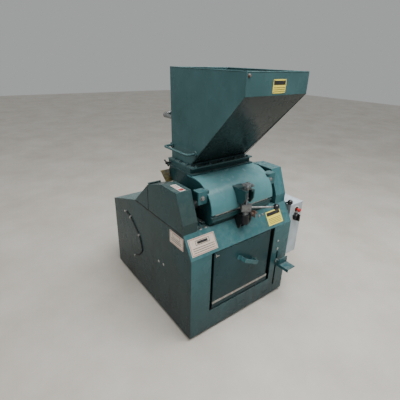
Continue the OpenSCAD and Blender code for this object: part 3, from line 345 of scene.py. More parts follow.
class Pattern:
    """Builds the shared patterns of a material: noise, edges, mixes and bumps, in metres."""

    def __init__(self, name: str) -> None:
        """Starts a material with an empty tree and object coordinates.

        Args:
            name: Name of the material.
        """
        self.material = bpy.data.materials.new(name)
        self.material.use_nodes = True
        self.tree = self.material.node_tree
        self.tree.nodes.clear()
        self.place = add_node(self.tree, "TexCoord").outputs["Object"]
        self.parts = add_node(self.tree, "SeparateXYZ", inputs={0: self.place}).outputs

    def noise(self, size: float, detail: float = 3.0, stretch: Vector3 = (1, 1, 1),
              rough: float = 0.55) -> Socket:
        """Cloudy noise from 0 to 1.

        Args:
            size: How far across a blotch is, in metres.
            detail: Number of finer layers.
            stretch: Scale along each axis; a low number draws the blotches out that way.
            rough: Strength of the finer layers.

        Returns:
            The value.
        """
        scaled = add_node(self.tree, "Mapping", inputs={"Vector": self.place, "Scale": stretch})
        return add_node(self.tree, "TexNoise", inputs={
            "Vector": scaled.outputs[0], "Scale": 1 / size, "Detail": detail,
            "Roughness": rough}).outputs["Fac"]

    def ramp(self, value: Socket, low: float, high: float, to_low: float = 0.0,
             to_high: float = 1.0) -> Socket:
        """Maps a value in a straight line and holds it at both ends.

        Args:
            value: The value.
            low: Where it starts; above high, the ramp falls.
            high: Where it ends.
            to_low: Result at low.
            to_high: Result at high.

        Returns:
            The mapped value.
        """
        return add_node(self.tree, "MapRange", inputs={
            "Value": value, "From Min": low, "From Max": high, "To Min": to_low,
            "To Max": to_high}).outputs[0]

    def math(self, kind: str, a: Socket | float, b: Socket | float = 0.0) -> Socket:
        """One math step, such as MULTIPLY or MAXIMUM."""
        return add_node(self.tree, "Math", {"operation": kind, "use_clamp": False},
                        {0: a, 1: b}).outputs[0]

    def mix(self, share: Socket | float, a: Socket | tuple, b: Socket | tuple) -> Socket:
        """Blends colour a to colour b by share."""
        return add_node(self.tree, "Mix", {"data_type": "RGBA"},
                        {"Factor": share, 6: a, 7: b}).outputs[2]

    def rounded(self, radius: float) -> Socket:
        """The surface normal with its edges rounded over by radius metres."""
        return add_node(self.tree, "Bevel", {"samples": 4}, {"Radius": radius}).outputs[0]

    def edges(self, radius: float) -> Socket:
        """A mask of 1 on edges, worked out from how far the rounded normal leans.

        Args:
            radius: How far from an edge the mask reaches, in metres.

        Returns:
            The mask.
        """
        flat = add_node(self.tree, "NewGeometry").outputs["Normal"]
        lean = add_node(self.tree, "VectorMath", {"operation": "DOT_PRODUCT"},
                        {0: self.rounded(radius), 1: flat}).outputs["Value"]
        return self.ramp(lean, EDGE_START, EDGE_FULL)

    def crevice_shade(self, reach: float) -> Socket:
        """A mask of painted shade, from ambient occlusion, where surfaces close in on each other,
        never quite full.

        Args:
            reach: How far apart surfaces may be to count, in metres.

        Returns:
            The mask.
        """
        shade = add_node(self.tree, "AmbientOcclusion", {"samples": 6}, {"Distance": reach})
        return self.ramp(shade.outputs["AO"], GAP_START, GAP_FULL, 0.0, GAP_MOST)

    def bump(self, height: Socket, depth: float, normal: Socket | None = None,
             strength: float = 1.0) -> Socket:
        """A bump on top of a normal.

        Args:
            height: Height from 0 to 1.
            depth: Depth in metres.
            normal: The normal that it adds to.
            strength: Share of the bump that is kept.

        Returns:
            The new normal.
        """
        inputs = {"Height": height, "Distance": depth, "Strength": strength}
        if normal is not None:
            inputs["Normal"] = normal
        return add_node(self.tree, "Bump", inputs=inputs).outputs[0]

    def finish(self, colour: Socket | tuple, roughness: Socket | float, normal: Socket,
               metallic: Socket | float = 0.0, **constants: float | tuple) -> bpy.types.Material:
        """Closes the material with one Principled shader.

        Args:
            colour: Base colour.
            roughness: Roughness.
            normal: Normal after bumps.
            metallic: Metallic share.
            **constants: Other sockets by name, with _ for a space, held constant.

        Returns:
            The material.
        """
        inputs = {"Base Color": colour, "Roughness": roughness, "Normal": normal,
                  "Metallic": metallic}
        inputs.update({key.replace("_", " "): value for key, value in constants.items()})
        shader = add_node(self.tree, "BsdfPrincipled", inputs=inputs)
        add_node(self.tree, "OutputMaterial", inputs={0: shader.outputs[0]})
        return self.material


@dataclass(frozen=True)
class Enamel:
    """Alkyd enamel sprayed on folded steel sheet, chipped to bare and rusty steel at its edges.

    The eye sees a soft gloss with faint orange peel, painted shade that darkens it towards the
    floor under dirt streaks, dry dust on upper faces, painted shade under downward faces and in
    gaps, and short pale scuffs. Colours are sRGB.
    """

    name: str
    coat: str = "4c7f82"
    deep: str = "35605f"
    # Colour of the painted shade towards the floor, and of the dirt streaks.
    grime_and_shade: str = "161e20"
    dust: str = "a7aaa4"
    # Colour of the painted shade on faces that look down.
    underside_shade: str = "121b1b"
    # Colour of the painted shade in gaps and recesses.
    gap_shade: str = "0a1010"
    scuff: str = "9db5b4"
    steel: str = "8d8f8c"
    rust: str = "6b3f2a"
    wear: Wear = Wear.USED
    dust_share: float = 0.25
    roughness: float = 0.26
    # Height in metres where the painted shade towards the floor begins.
    floor_shade_top: float = 0.55
    shine: float = 0.2
    cloud_mm: float = 220
    streak_mm: float = 50
    dust_mm: float = 30
    scuff_mm: float = 12
    chip_mm: float = 18
    speck_mm: float = 7
    peel_mm: float = 3.5

    def build(self) -> bpy.types.Material:
        """Builds the paint from its coat outwards: painted shade, dirt and dust, scuffs, chips,
        gloss and peel.

        Returns:
            The material.
        """
        p = Pattern(self.name)
        cloud = p.ramp(p.noise(self.cloud_mm * MM, 4), 0.3, 0.7)
        colour = p.mix(cloud, linear(self.coat), linear(self.deep))
        colour, film_dust = self.shade_and_soil(p, colour)
        worn = self.wear.value
        scuff = p.ramp(p.noise(self.scuff_mm * MM, 8, (1.0, 1.0, 3.0), 0.7), 0.735 - 0.02 * worn,
                       0.76)
        colour = p.mix(p.math("MULTIPLY", scuff, 0.55), colour, linear(self.scuff))
        bare = self.chips(p)
        rust = p.mix(p.ramp(p.noise(0.01, 4), 0.4, 0.6), linear(self.steel), linear(self.rust))
        colour = p.mix(bare, colour, rust)
        gloss = p.ramp(p.noise(0.08, 5), 0.3, 0.75, self.roughness - 0.06, self.roughness + 0.10)
        dull = p.math("MULTIPLY", p.math("MAXIMUM", bare, film_dust), 0.4)
        # Orange peel is about 1.5 mm wide on real paint; it is drawn twice as coarse to show.
        peel = p.bump(p.noise(self.peel_mm * MM, 2), 0.00006, p.rounded(1.2 * MM), 0.6)
        normal = p.bump(p.math("SUBTRACT", 1.0, bare), 0.0003, peel, 0.5)
        return p.finish(colour, p.math("ADD", gloss, dull), normal, Coat_Weight=0.04,
                        Coat_Roughness=0.12, Specular_IOR_Level=self.shine)

    def shade_and_soil(self, p: Pattern, colour: Socket) -> tuple[Socket, Socket]:
        """Lays painted shade towards the floor with dirt streaks, painted shade underneath and in
        gaps, and dust on top.

        Args:
            p: The material's patterns.
            colour: The clean paint.

        Returns:
            The shaded and soiled colour, and the share of dust.
        """
        streak = p.ramp(p.noise(self.streak_mm * MM, 5, (1.0, 1.0, 0.12)), 0.45, 0.75)
        # Painted shade: the paint darkens towards the floor; the streaks laid over it are dirt.
        low = p.ramp(p.parts[2], self.floor_shade_top, 0.05)
        film = p.math("MULTIPLY", p.math("ADD", p.math("MULTIPLY", low, 0.25), 0.08), streak)
        film = p.math("ADD", film, p.math("MULTIPLY", low, 0.62))
        colour = p.mix(film, colour, linear(self.grime_and_shade))
        facing = add_node(p.tree, "SeparateXYZ", inputs={
            0: add_node(p.tree, "NewGeometry").outputs["Normal"]}).outputs[2]
        # Painted shade: faces that look down are darkened almost to black.
        under = p.math("MULTIPLY", p.ramp(facing, -0.1, -0.5), 0.8)
        colour = p.mix(under, colour, linear(self.underside_shade))
        # Painted shade: ambient occlusion darkens the paint in gaps and recesses.
        colour = p.mix(p.crevice_shade(110 * MM), colour, linear(self.gap_shade))
        settled = p.math("MULTIPLY", p.ramp(facing, 0.2, 0.9),
                         p.ramp(p.noise(self.dust_mm * MM, 6), 0.35, 0.8))
        film_dust = p.math("MULTIPLY", p.math("ADD", settled, 0.04), self.dust_share)
        return p.mix(film_dust, colour, linear(self.dust)), film_dust

    def chips(self, p: Pattern) -> Socket:
        """A mask of bare steel: chips along edges and a few specks, more where it is worn.

        Args:
            p: The material's patterns.

        Returns:
            The mask.
        """
        worn = self.wear.value
        edge = p.math("MULTIPLY", p.edges(1.6 * MM),
                      p.ramp(p.noise(self.chip_mm * MM, 6, rough=0.7), 0.62 - 0.10 * worn,
                             0.66 - 0.06 * worn))
        speck = p.ramp(p.noise(self.speck_mm * MM, 2), 0.83 - 0.02 * worn, 0.845 - 0.02 * worn)
        return p.math("MAXIMUM", edge, speck)


@dataclass(frozen=True)
class PowderCoat:
    """Fine-textured powder coat on a small enclosure: even, satin, a little grubby."""

    name: str
    coat: str = "b9c0c2"
    shade: str = "9aa3a6"
    smear: str = "6e6f6b"
    rubbed: str = "8c8a85"
    cloud_mm: float = 120
    smear_mm: float = 30
    texture_mm: float = 1.2

    def build(self) -> bpy.types.Material:
        """Builds the coat: soft clouds, hand smears, rubbed edges and a fine texture.

        Returns:
            The material.
        """
        p = Pattern(self.name)
        cloud = p.ramp(p.noise(self.cloud_mm * MM, 5), 0.35, 0.75)
        colour = p.mix(cloud, linear(self.coat), linear(self.shade))
        smear = p.ramp(p.noise(self.smear_mm * MM, 6, (1, 1, 0.2)), 0.6, 0.8)
        colour = p.mix(p.math("MULTIPLY", smear, 0.25), colour, linear(self.smear))
        rubbed = p.math("MULTIPLY", p.edges(1.2 * MM), p.ramp(p.noise(0.01, 5), 0.5, 0.6))
        colour = p.mix(rubbed, colour, linear(self.rubbed))
        # The texture is about 0.4 mm on real powder coat; it is drawn coarser to show.
        normal = p.bump(p.noise(self.texture_mm * MM, 2), 0.00005, p.rounded(1.2 * MM), 0.7)
        return p.finish(colour, p.ramp(p.noise(0.05), 0.3, 0.7, 0.38, 0.52), normal)


@dataclass(frozen=True)
class BareMetal:
    """Machined or cast metal: turned or ground marks under a thin film of oil and rust."""

    name: str
    metal: str = "c3c4c2"
    stain: str = "6d4a36"
    stained: float = 0.25
    roughness: float = 0.28
    grain: float = 0.0008
    metallic: float = 1.0
    dull: str = "8f9190"
    stain_mm: float = 16
    cloud_mm: float = 30

    def build(self) -> bpy.types.Material:
        """Builds the metal: dull clouds, stains that take the shine off, and tool marks.

        Returns:
            The material.
        """
        p = Pattern(self.name)
        blotch = p.ramp(p.noise(self.stain_mm * MM, 7, rough=0.68), 0.62 - 0.35 * self.stained,
                        0.80 - 0.2 * self.stained)
        cloud = p.ramp(p.noise(self.cloud_mm * MM, 4), 0.3, 0.7)
        colour = p.mix(cloud, linear(self.metal), linear(self.dull))
        colour = p.mix(blotch, colour, linear(self.stain))
        # Tool marks are drawn four times as coarse as the grain, so that they show.
        marks = p.noise(self.grain * 4, 4)
        rough = p.math("ADD", p.ramp(marks, 0.3, 0.7, self.roughness - 0.06, self.roughness + 0.1),
                       p.math("MULTIPLY", blotch, 0.4))
        normal = p.bump(marks, 0.00008, p.rounded(0.8 * MM), 0.6)
        bright = p.math("MULTIPLY", p.math("SUBTRACT", 1.0, p.math("MULTIPLY", blotch, 0.8)),
                        self.metallic)
        return p.finish(colour, rough, normal, bright)


@dataclass(frozen=True)
class Moulded:
    """Moulded plastic, rubber or ink: even colour, soft sheen, dust in the texture."""

    name: str
    colour: str
    worn: str
    roughness: float = 0.25
    texture: float = 0.00003
    rub_mm: float = 12
    texture_mm: float = 1.5

    def build(self) -> bpy.types.Material:
        """Builds the plastic: rubbed patches, uneven sheen and a fine moulded texture.

        Returns:
            The material.
        """
        p = Pattern(self.name)
        share = p.math("MULTIPLY", p.ramp(p.noise(self.rub_mm * MM, 6), 0.5, 0.8), 0.6)
        colour = p.mix(share, linear(self.colour), linear(self.worn))
        rough = p.ramp(p.noise(0.02, 5), 0.3, 0.75, self.roughness - 0.05, self.roughness + 0.18)
        normal = p.bump(p.noise(self.texture_mm * MM, 3), self.texture, p.rounded(0.8 * MM), 0.7)
        return p.finish(colour, rough, normal)


# Places -------------------------------------------------------------------------

CORNER = np.array([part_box("left_panel")[0][0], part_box("left_panel")[0][1], 0.0])
BEVEL_BACK, BEVEL_UP = 77.0, 124.0  # how far the sloping strip runs back and up, in millimetres
BEVEL_LENGTH = math.hypot(BEVEL_BACK, BEVEL_UP)
BEVEL_RISE = np.array([0.0, BEVEL_BACK, BEVEL_UP]) / BEVEL_LENGTH
BEVEL_OUT = np.array([0.0, -BEVEL_UP, BEVEL_BACK]) / BEVEL_LENGTH


def at(x: float, y: float, z: float) -> np.ndarray:
    """A point given in millimetres from the base's front left floor corner, in metres."""
    return CORNER + np.array([x, y, z]) * MM


@dataclass(frozen=True)
class Sheet:
    """A flat face of the machine: local x and y run across it and local z stands out of it."""

    origin: tuple[float, float, float]
    across: tuple[float, float, float]
    rise: tuple[float, float, float]
    out: tuple[float, float, float]

    def place(self, shape: Shape) -> Shape:
        """Carries a shape to its place on the face.

        Each point (x, y, z) goes to origin + x * across + y * rise + z * out.

        Args:
            shape: The shape in local metres.

        Returns:
            Points in metres and faces.
        """
        points, faces = shape
        basis = np.array([self.across, self.rise, self.out])
        return points @ basis + at(*self.origin), faces

    def block(self, x0: float, y0: float, x1: float, y1: float, z0: float, z1: float,
              radius: float = 0.2) -> Shape:
        """A block on the face.

        Args:
            x0: Low x, in local millimetres as the rest.
            y0: Low y.
            x1: High x.
            y1: High y.
            z0: Low height over the face.
            z1: High height.
            radius: Edge radius.

        Returns:
            Points in metres and faces.
        """
        low, high = np.array([x0, y0, z0]) * MM, np.array([x1, y1, z1]) * MM
        return self.place(rounded_box(low, high, radius * MM, 2))


BEVEL = Sheet((0, 0, 585), (1, 0, 0), tuple(BEVEL_RISE), tuple(BEVEL_OUT))
LEFT = Sheet((0, 0, 0), (0, 1, 0), (0, 0, 1), (-1, 0, 0))
HOPPER_FRONT = Sheet((0, -99, 0), (1, 0, 0), (0, 0, 1), (0, -1, 0))
GUARD_TOP = Sheet((0, 0, 934), (1, 0, 0), (0, 1, 0), (0, 0, 1))


BEAD_STEP = 3 * MM  # length of a weld bead between two of its circles
BEAD_TURN = 1.7  # radians that the bead's sway turns in a step


def straight(a: Vector3, b: Vector3, radius: float, ripple: float = 0.0, sides: int = 12) -> Shape:
    """A round bar from a to b in metres, or a weld bead where ripple is above 0.

    The path runs evenly from a to b; a bead sways to each side by ripple * sin(turns).

    Args:
        a: Start in metres.
        b: End in metres.
        radius: Radius in metres.
        ripple: Sway in metres.
        sides: Points in each circle.

    Returns:
        Points in metres and faces.
    """
    a, b = np.array(a, float), np.array(b, float)
    ahead = (b - a) / np.linalg.norm(b - a)
    other = np.eye(3)[np.argmin(np.abs(ahead))]
    up = np.cross(ahead, other)
    up /= np.linalg.norm(up)
    count = max(2, int(np.linalg.norm(b - a) / BEAD_STEP)) if ripple else 2
    step = np.linspace(0, 1, count)[:, None]
    sway = ripple * np.sin(step * count * BEAD_TURN)
    path = a + (b - a) * step + np.cross(up, ahead) * sway
    return swept(path, radius, up, sides)


def rounded_path(corners: np.ndarray, radius: float, steps: int = 6) -> np.ndarray:
    """A closed path with round corners: near each corner P the path is a quadratic curve.

    It runs from S to E, each radius from P along its two sides: (1-t)^2 S + 2t(1-t) P + t^2 E.

    Args:
        corners: Corners in metres, in order, shape (n, 3).
        radius: Length taken off each side at a corner, in metres.
        steps: Points on each curve.

    Returns:
        Points in metres, shape (n * steps, 3).
    """
    back, ahead = np.roll(corners, 1, 0) - corners, np.roll(corners, -1, 0) - corners
    start = corners + back / np.linalg.norm(back, axis=1, keepdims=True) * radius
    end = corners + ahead / np.linalg.norm(ahead, axis=1, keepdims=True) * radius
    t = np.linspace(0, 1, steps)[None, :, None]
    start, middle, end = (points[:, None] for points in (start, corners, end))
    curve = (1 - t) ** 2 * start + 2 * t * (1 - t) * middle + t ** 2 * end
    return curve.reshape(-1, 3)


def smooth_path(points: np.ndarray, steps: int = 6) -> np.ndarray:
    """A smooth path through points: each stretch is a Catmull-Rom cubic of its four neighbours.

    Args:
        points: Points in metres, shape (n, 3).
        steps: Points on each stretch.

    Returns:
        Points in metres.
    """
    p = np.concatenate([2 * points[:1] - points[1:2], points, 2 * points[-1:] - points[-2:-1]])
    t = (np.arange(steps) / steps)[None, :, None]
    a, b, c, d = (p[i:len(p) - 3 + i][:, None] for i in range(4))
    curve = 0.5 * (2 * b + (c - a) * t + (2 * a - 5 * b + 4 * c - d) * t ** 2
                   + (3 * b - a - 3 * c + d) * t ** 3)
    return np.concatenate([curve.reshape(-1, 3), points[-1:]])


def coil(centre: Vector3, axis: Axis, length: float, radius: float, wire: float,
         turns: float) -> Shape:
    """A coil spring: a circle of wire carried round a helix.

    At angle a the wire's middle is centre + radius * radial(a) + length * a / last along the
    axis, and its circle spans the radial and the axis directions.

    Args:
        centre: Start of the axis in metres.
        axis: The axis.
        length: Length along the axis in metres.
        radius: Coil radius in metres.
        wire: Wire radius in metres.
        turns: Number of turns.

    Returns:
        Points in metres and faces.
    """
    steps, sides = int(turns * 24), 8
    angle = np.linspace(0, turns * 2 * math.pi, steps)[:, None]
    around = np.linspace(0, 2 * math.pi, sides, endpoint=False)[None]
    taper = np.minimum(1, np.minimum(np.arange(steps), np.arange(steps)[::-1]))[:, None]
    reach = radius + wire * taper * np.cos(around)
    points = np.empty((steps, sides, 3))
    points[..., axis.value] = length * angle / angle[-1] + wire * taper * np.sin(around)
    points[..., (axis.value + 1) % 3] = reach * np.cos(angle)
    points[..., (axis.value + 2) % 3] = reach * np.sin(angle)
    points += np.array(centre)
    return points.reshape(-1, 3), grid_faces(steps, sides, False, True)


def bolt(centre: Vector3, axis: Axis, toward: int, across: float = 16, height: float = 8) -> Shape:
    """A hexagon bolt head on a washer.

    Args:
        centre: Where the washer sits, in metres.
        axis: The bolt's axis.
        toward: 1 or -1, the way that the head stands out.
        across: Width over corners in millimetres.
        height: Height of the head in millimetres.

    Returns:
        Points in metres and faces.
    """
    half, low = across / 2, 1.8
    washer = [(0, 0), (0, half * 1.25), (low * 0.7, half * 1.25), (low, half * 1.15), (low, 0)]
    head = [(low, 0), (low, half), (low + height * 0.8, half), (low + height, half * 0.84),
            (low + height, 0)]
    side = [(h * toward, r) for h, r in washer], [(h * toward, r) for h, r in head]
    return joined([turned(side[0], centre, axis, 32), turned(side[1], centre, axis, 6)])


class Finishes:
    """The machine's paints, metals and plastics, built once and shared."""

    def __init__(self) -> None:
        """Builds each finish."""
        kinds = {
            # Front, deck and right side: clean blue-green gloss, darkened near the floor by
            # painted shade.
            "teal": Enamel("alkyd_enamel_teal", "37666b", "2b575b", roughness=0.24),
            # Left side and its hoods: the same paint darkened as painted shade, with the painted
            # shade towards the floor nearly black.
            "side": Enamel("alkyd_enamel_shaded_side", "28474a", "304241", grime_and_shade="0f1415",
                           wear=Wear.KEPT, dust_share=0.22, roughness=0.24, floor_shade_top=0.85,
                           shine=0.1),
            # Curved cover: the same paint lightened as painted light from above, with little wear
            # and a smoother gloss.
            "cover": Enamel("alkyd_enamel_lit_cover", "57868a", "44747a", wear=Wear.KEPT,
                            dust_share=0.15, roughness=0.2),
            # Castings and brackets: a darker, duller coat of the same colour.
            "dark": Enamel("alkyd_enamel_dark", "214a4e", "1a3c3f", roughness=0.28),
            # Hopper: a greyer coat, its grey a painted reflection of the pale wall, with little
            # gloss left.
            "hopper": Enamel("alkyd_enamel_hopper", "406063", "325052", wear=Wear.USED,
                             roughness=0.24, floor_shade_top=0.3, shine=0.1),
            # Bin and shelf: the paint darkened to deep green as painted shade of the bay under the
            # hopper.
            "bin": Enamel("alkyd_enamel_shaded_bin", "1b4045", "153236", wear=Wear.USED, roughness=0.27,
                          floor_shade_top=0.4, shine=0.12),
            # Black enamel, flat and dusty; on the inner frame and bin bay it is a dark sheet of
            # painted shade, so that openings read as dark gaps.
            "black": Enamel("stove_enamel_black_and_shade", "1d2123", "15181a", "0e0f0f", wear=Wear.USED,
                            dust_share=0.1, roughness=0.38),
            # Control box: pale cool grey with a fine sandy texture.
            "powder": PowderCoat("powder_coat_grey", "b3bfc8"),
            # Screws and shafts: bright grey with small brown stains.
            "steel": BareMetal("turned_steel", stained=0.15),
            # Neglected small parts: brown rust with dull metal between.
            "worn": BareMetal("rusted_steel", "8a7c6e", "5b3320", 0.9, 0.5, metallic=0.7),
            # Sill, where boots and the bin rub: pale steel with orange streaks; on the shelf's top
            # edge the paleness is partly a painted highlight.
            "sill": BareMetal("rubbed_and_highlit_mild_steel", "b9bab3", "a5623f", 0.35, 0.42, metallic=0.75),
            # Castings left bare: dark even grey with a coarse skin.
            "iron": BareMetal("grey_cast_iron", "6c706f", "4a3a30", 0.3, 0.5, 0.0012,
                              metallic=0.75),
            # Clamp screw: blue-grey metal under a dark film of oil.
            "oiled": BareMetal("oiled_cast_steel", "59656a", "2c2a27", 0.5, 0.42, metallic=0.6),
            # Ball knobs and selector: deep black with a clear soft shine.
            "black_plastic": Moulded("phenolic_black", "0f1112", "3a3c3c", 0.18),
            # Stop button: strong red, slightly scuffed.
            "red_plastic": Moulded("nylon_red", "a81b18", "7c3a34", 0.3),
            # Seals, pads and lead: matt black with grey dust in it; the same black makes the
            # painted-shadow strips along the belt guard's edges.
            "rubber": Moulded("nitrile_rubber_black", "1a1a19", "45433f", 0.6, 0.00008),
            # Riveted plates: satin beige, even and flat.
            "beige": Moulded("printed_aluminium_beige", "cbbdaf", "a3988a", 0.35),
            # Gusset at the back: dull yellow passivated steel with brown patches.
            "tag": BareMetal("chromated_steel_yellow", "a89a4a", "6a4a2a", 0.5, 0.5,
                             metallic=0.35),
            # Stuck labels: clear yellow or off-white film, a little faded.
            "yellow": Moulded("vinyl_label_yellow", "e2d257", "bdb05c", 0.4),
            "white": Moulded("vinyl_label_white", "d9d7d0", "a8a69e", 0.4),
            # Printing on plates: matt black and a faded red.
            "ink": Moulded("screen_ink_black", "1b1c1d", "3d3c3a", 0.45),
            "ink_red": Moulded("screen_ink_red", "9c3a34", "a8665c", 0.45),
        }
        self.made = {key: kind.build() for key, kind in kinds.items()}

    def __getitem__(self, key: str) -> bpy.types.Material:
        """The material of that short name."""
        return self.made[key]


# Parts in light_teal_enamel take the cover finish, lightened as painted light.
SLOT_FINISH = {
    "teal_enamel": "teal", "light_teal_enamel": "cover", "dark_teal_enamel": "dark",
    "black_enamel": "black", "grey_powder_coat": "powder", "bright_steel": "steel",
    "worn_steel": "worn", "cast_iron": "iron", "black_plastic": "black_plastic",
    "red_plastic": "red_plastic", "rubber": "rubber", "beige_plate": "beige",
    "yellow_plate": "yellow"}
# Nodes that take a painted-shade finish: the left panel and belt guards the darker side coat, the
# bin and its shelf the darkened bin coat, and the bin bay and base frame the black.
NODE_FINISH = {
    "left_panel": "side", "belt_guard_front": "side", "belt_guard_rear": "side",
    "hopper": "hopper", "granulate_bin": "bin", "bin_handle": "teal", "lever_nut": "iron",
    "grab_handle": "hopper",
    "rear_handle": "iron", "housing_hinges": "dark", "pillow_blocks": "dark",
    "upper_housing": "dark", "lower_housing": "dark", "bin_bay": "black",
    "bin_shelf": "bin", "base_frame": "black", "clamp_socket": "black", "clamp_bracket": "dark",
    "chamber_liner": "iron", "flange_screw_left": "dark", "flange_screw_right": "dark"}


def dress(finishes: Finishes) -> None:
    """Gives every CAD node its finish, by its slot or by name where it differs.

    Args:
        finishes: The machine's finishes.
    """
    for row in frame["record"]["subparts"]:
        key = NODE_FINISH.get(row["node"], SLOT_FINISH[row["material_slot"]])
        data = frame["nodes"][row["node"]].data
        for index in range(len(data.materials)):
            data.materials[index] = finishes[key]


@dataclass
class Assembly:
    """A part of the machine that adds pieces to one body after another."""

    finishes: Finishes

    def add(self, name: str, shape: Shape, finish: str, body: str,
            slot: str, *replaced: str, smooth: float = 40.0) -> bpy.types.Object:
        """Makes a piece and says what it rides on, stands for and is finished in.

        Args:
            name: Name of the piece.
            shape: Points in metres and faces.
            finish: Short name of the finish.
            body: CAD body it moves with.
            slot: Material slot of the record; not used.
            *replaced: CAD nodes it stands for.
            smooth: Largest angle in degrees that is shaded smooth.

        Returns:
            The piece.
        """
        piece = mesh_object(name, *shape, smooth)
        piece.data.materials.append(self.finishes[finish])
        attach(piece, body)
        if replaced:
            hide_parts(*replaced)
        LOG.info("%s: %d faces on %s", name, len(piece.data.polygons), body)
        return piece


@dataclass
class Hopper(Assembly):
    """The welded feed hopper: hemmed rim, seams, flange bolts, label and its two set screws.

    Sizes are in millimetres, and places count from the base's corner. The gusset's outline
    gives z and x of each corner.
    """

    left: float = 202
    right: float = 638
    front: float = -99
    back: float = 512
    rim_z: float = 1534
    lip_z: float = 1428
    neck_y: float = 299
    flange_z: float = 1008
    hem: float = 3.4
    front_bolts: tuple[float, ...] = (214, 317, 420, 523, 626)
    front_bolt_y: float = 262
    side_bolts: tuple[float, ...] = (318, 392, 450)
    side_bolt_x: tuple[float, float] = (191, 649)
    rusty_bolt: tuple[float, float] = (218, 1516)
    label_x: tuple[float, float] = (381, 463)
    label_z: tuple[float, float] = (1441, 1495)
    gusset: tuple[tuple[float, float], ...] = (
        (935, 116), (935, 180), (990, 196), (990, 236), (849, 236), (849, 155))
    gusset_y: tuple[float, float] = (500, 503)

    def build(self) -> None:
        """Builds the hopper's pieces."""
        inset, z = self.hem - 1.0, self.rim_z - self.hem
        x0, x1 = self.left + inset, self.right - inset
        y0, y1 = self.front + inset, self.back - inset
        corners = np.array([at(x0, y0, z), at(x1, y0, z), at(x1, y1, z), at(x0, y1, z)])
        rim = swept(rounded_path(corners, 6 * MM), self.hem * MM, (0, 0, 1), 12, True)
        self.add("hopper_rim_hem", rim, "hopper", "head", "dark_teal_enamel")
        self.add("hopper_weld_seams", joined(self.seams()), "hopper", "head",
                 "dark_teal_enamel")
        spots = [(x, self.front_bolt_y) for x in self.front_bolts]
        spots += [(x, y) for x in self.side_bolt_x for y in self.side_bolts]
        bolts = [bolt(at(x, y, self.flange_z), Axis.Z, 1, 15, 7) for x, y in spots]
        self.add("hopper_flange_bolts", joined(bolts), "dark", "head", "bright_steel")
        rusty = bolt(at(self.rusty_bolt[0], self.front, self.rusty_bolt[1]), Axis.Y, -1, 13, 5)
        self.add("hopper_lip_bolt", rusty, "worn", "head", "worn_steel")
        for side, x in zip(("left", "right"), self.label_x):
            rivets = [turned([(-2, 0), (-2, 2.4), (-3, 3)], at(x, self.front, z), Axis.Y, 16)
                      for z in self.label_z]
            self.add(f"hopper_label_rivets_{side}", joined(rivets), "steel", "head",
                     "bright_steel")
        bracket = plate(self.gusset, Axis.Y, *self.gusset_y)
        self.add("rear_gusset", bracket, "tag", "head", "yellow_plate")
        for side, tip, handle in (("left", 180, 150), ("right", 660, 690)):
            self.set_screw(side, tip, handle)

    def seams(self) -> list[Shape]:
        """The weld beads up both front corners and across the foot of the slope.

        Returns:
            One shape for each bead.
        """
        beads = []
        for x in (self.left + 1, self.right - 1):
            low, mid = at(x, self.neck_y, self.flange_z), at(x, self.front + 1, self.lip_z)
            beads += [straight(low, mid, 1.8 * MM, 0.4 * MM),
                      straight(mid, at(x, self.front + 1, self.rim_z - 8), 1.5 * MM, 0.3 * MM)]
        beads.append(straight(at(self.left + 2, self.neck_y, self.flange_z + 1),
                              at(self.right - 2, self.neck_y, self.flange_z + 1), 2.4 * MM,
                              0.6 * MM))
        return beads

    def set_screw(self, side: str, tip: float, handle: float, y: float = 481, z: float = 985
                  ) -> None:
        """Builds one of the two T-handled screws that hold the hopper's flange.

        The bar stands square to the screw, leant 30 degrees up, with a ball at each end.

        Args:
            side: "left" or "right".
            tip: Where the screw ends in the flange along x, in millimetres as the rest.
            handle: Where its bar is along x.
            y: The screw's axis in y.
            z: The screw's axis in z.
        """
        middle, way, length = at(handle, y, z), -1 if handle < tip else 1, abs(handle - tip)
        shank = [(0, 0), (0, 5)] + [(h, 5 + 0.7 * (i % 2)) for i, h in
                                    enumerate(np.arange(1, length - 8, 1.5))]
        shank += [(length - 7, 9), (length + 5, 9), (length + 6, 7), (length + 6, 0)]
        stem = turned([(h * way, r) for h, r in shank], at(tip, y, z), Axis.X, 24)
        lean = np.array([0, math.cos(math.radians(30)), math.sin(math.radians(30))])
        bar = straight(middle - lean * 24.5 * MM, middle + lean * 24.5 * MM, 4.6 * MM, sides=20)
        angle = np.linspace(0, math.pi, 9)
        ball = list(zip(-5.6 * np.cos(angle), 5.6 * np.sin(angle)))
        knobs = [turned(ball, middle + lean * 23.2 * MM * sign, Axis.X, 20) for sign in (-1, 1)]
        self.add(f"flange_t_screw_{side}", joined([stem, bar] + knobs), "black",
                 f"{side}_flange_screw", "cast_iron", f"flange_screw_{side}")


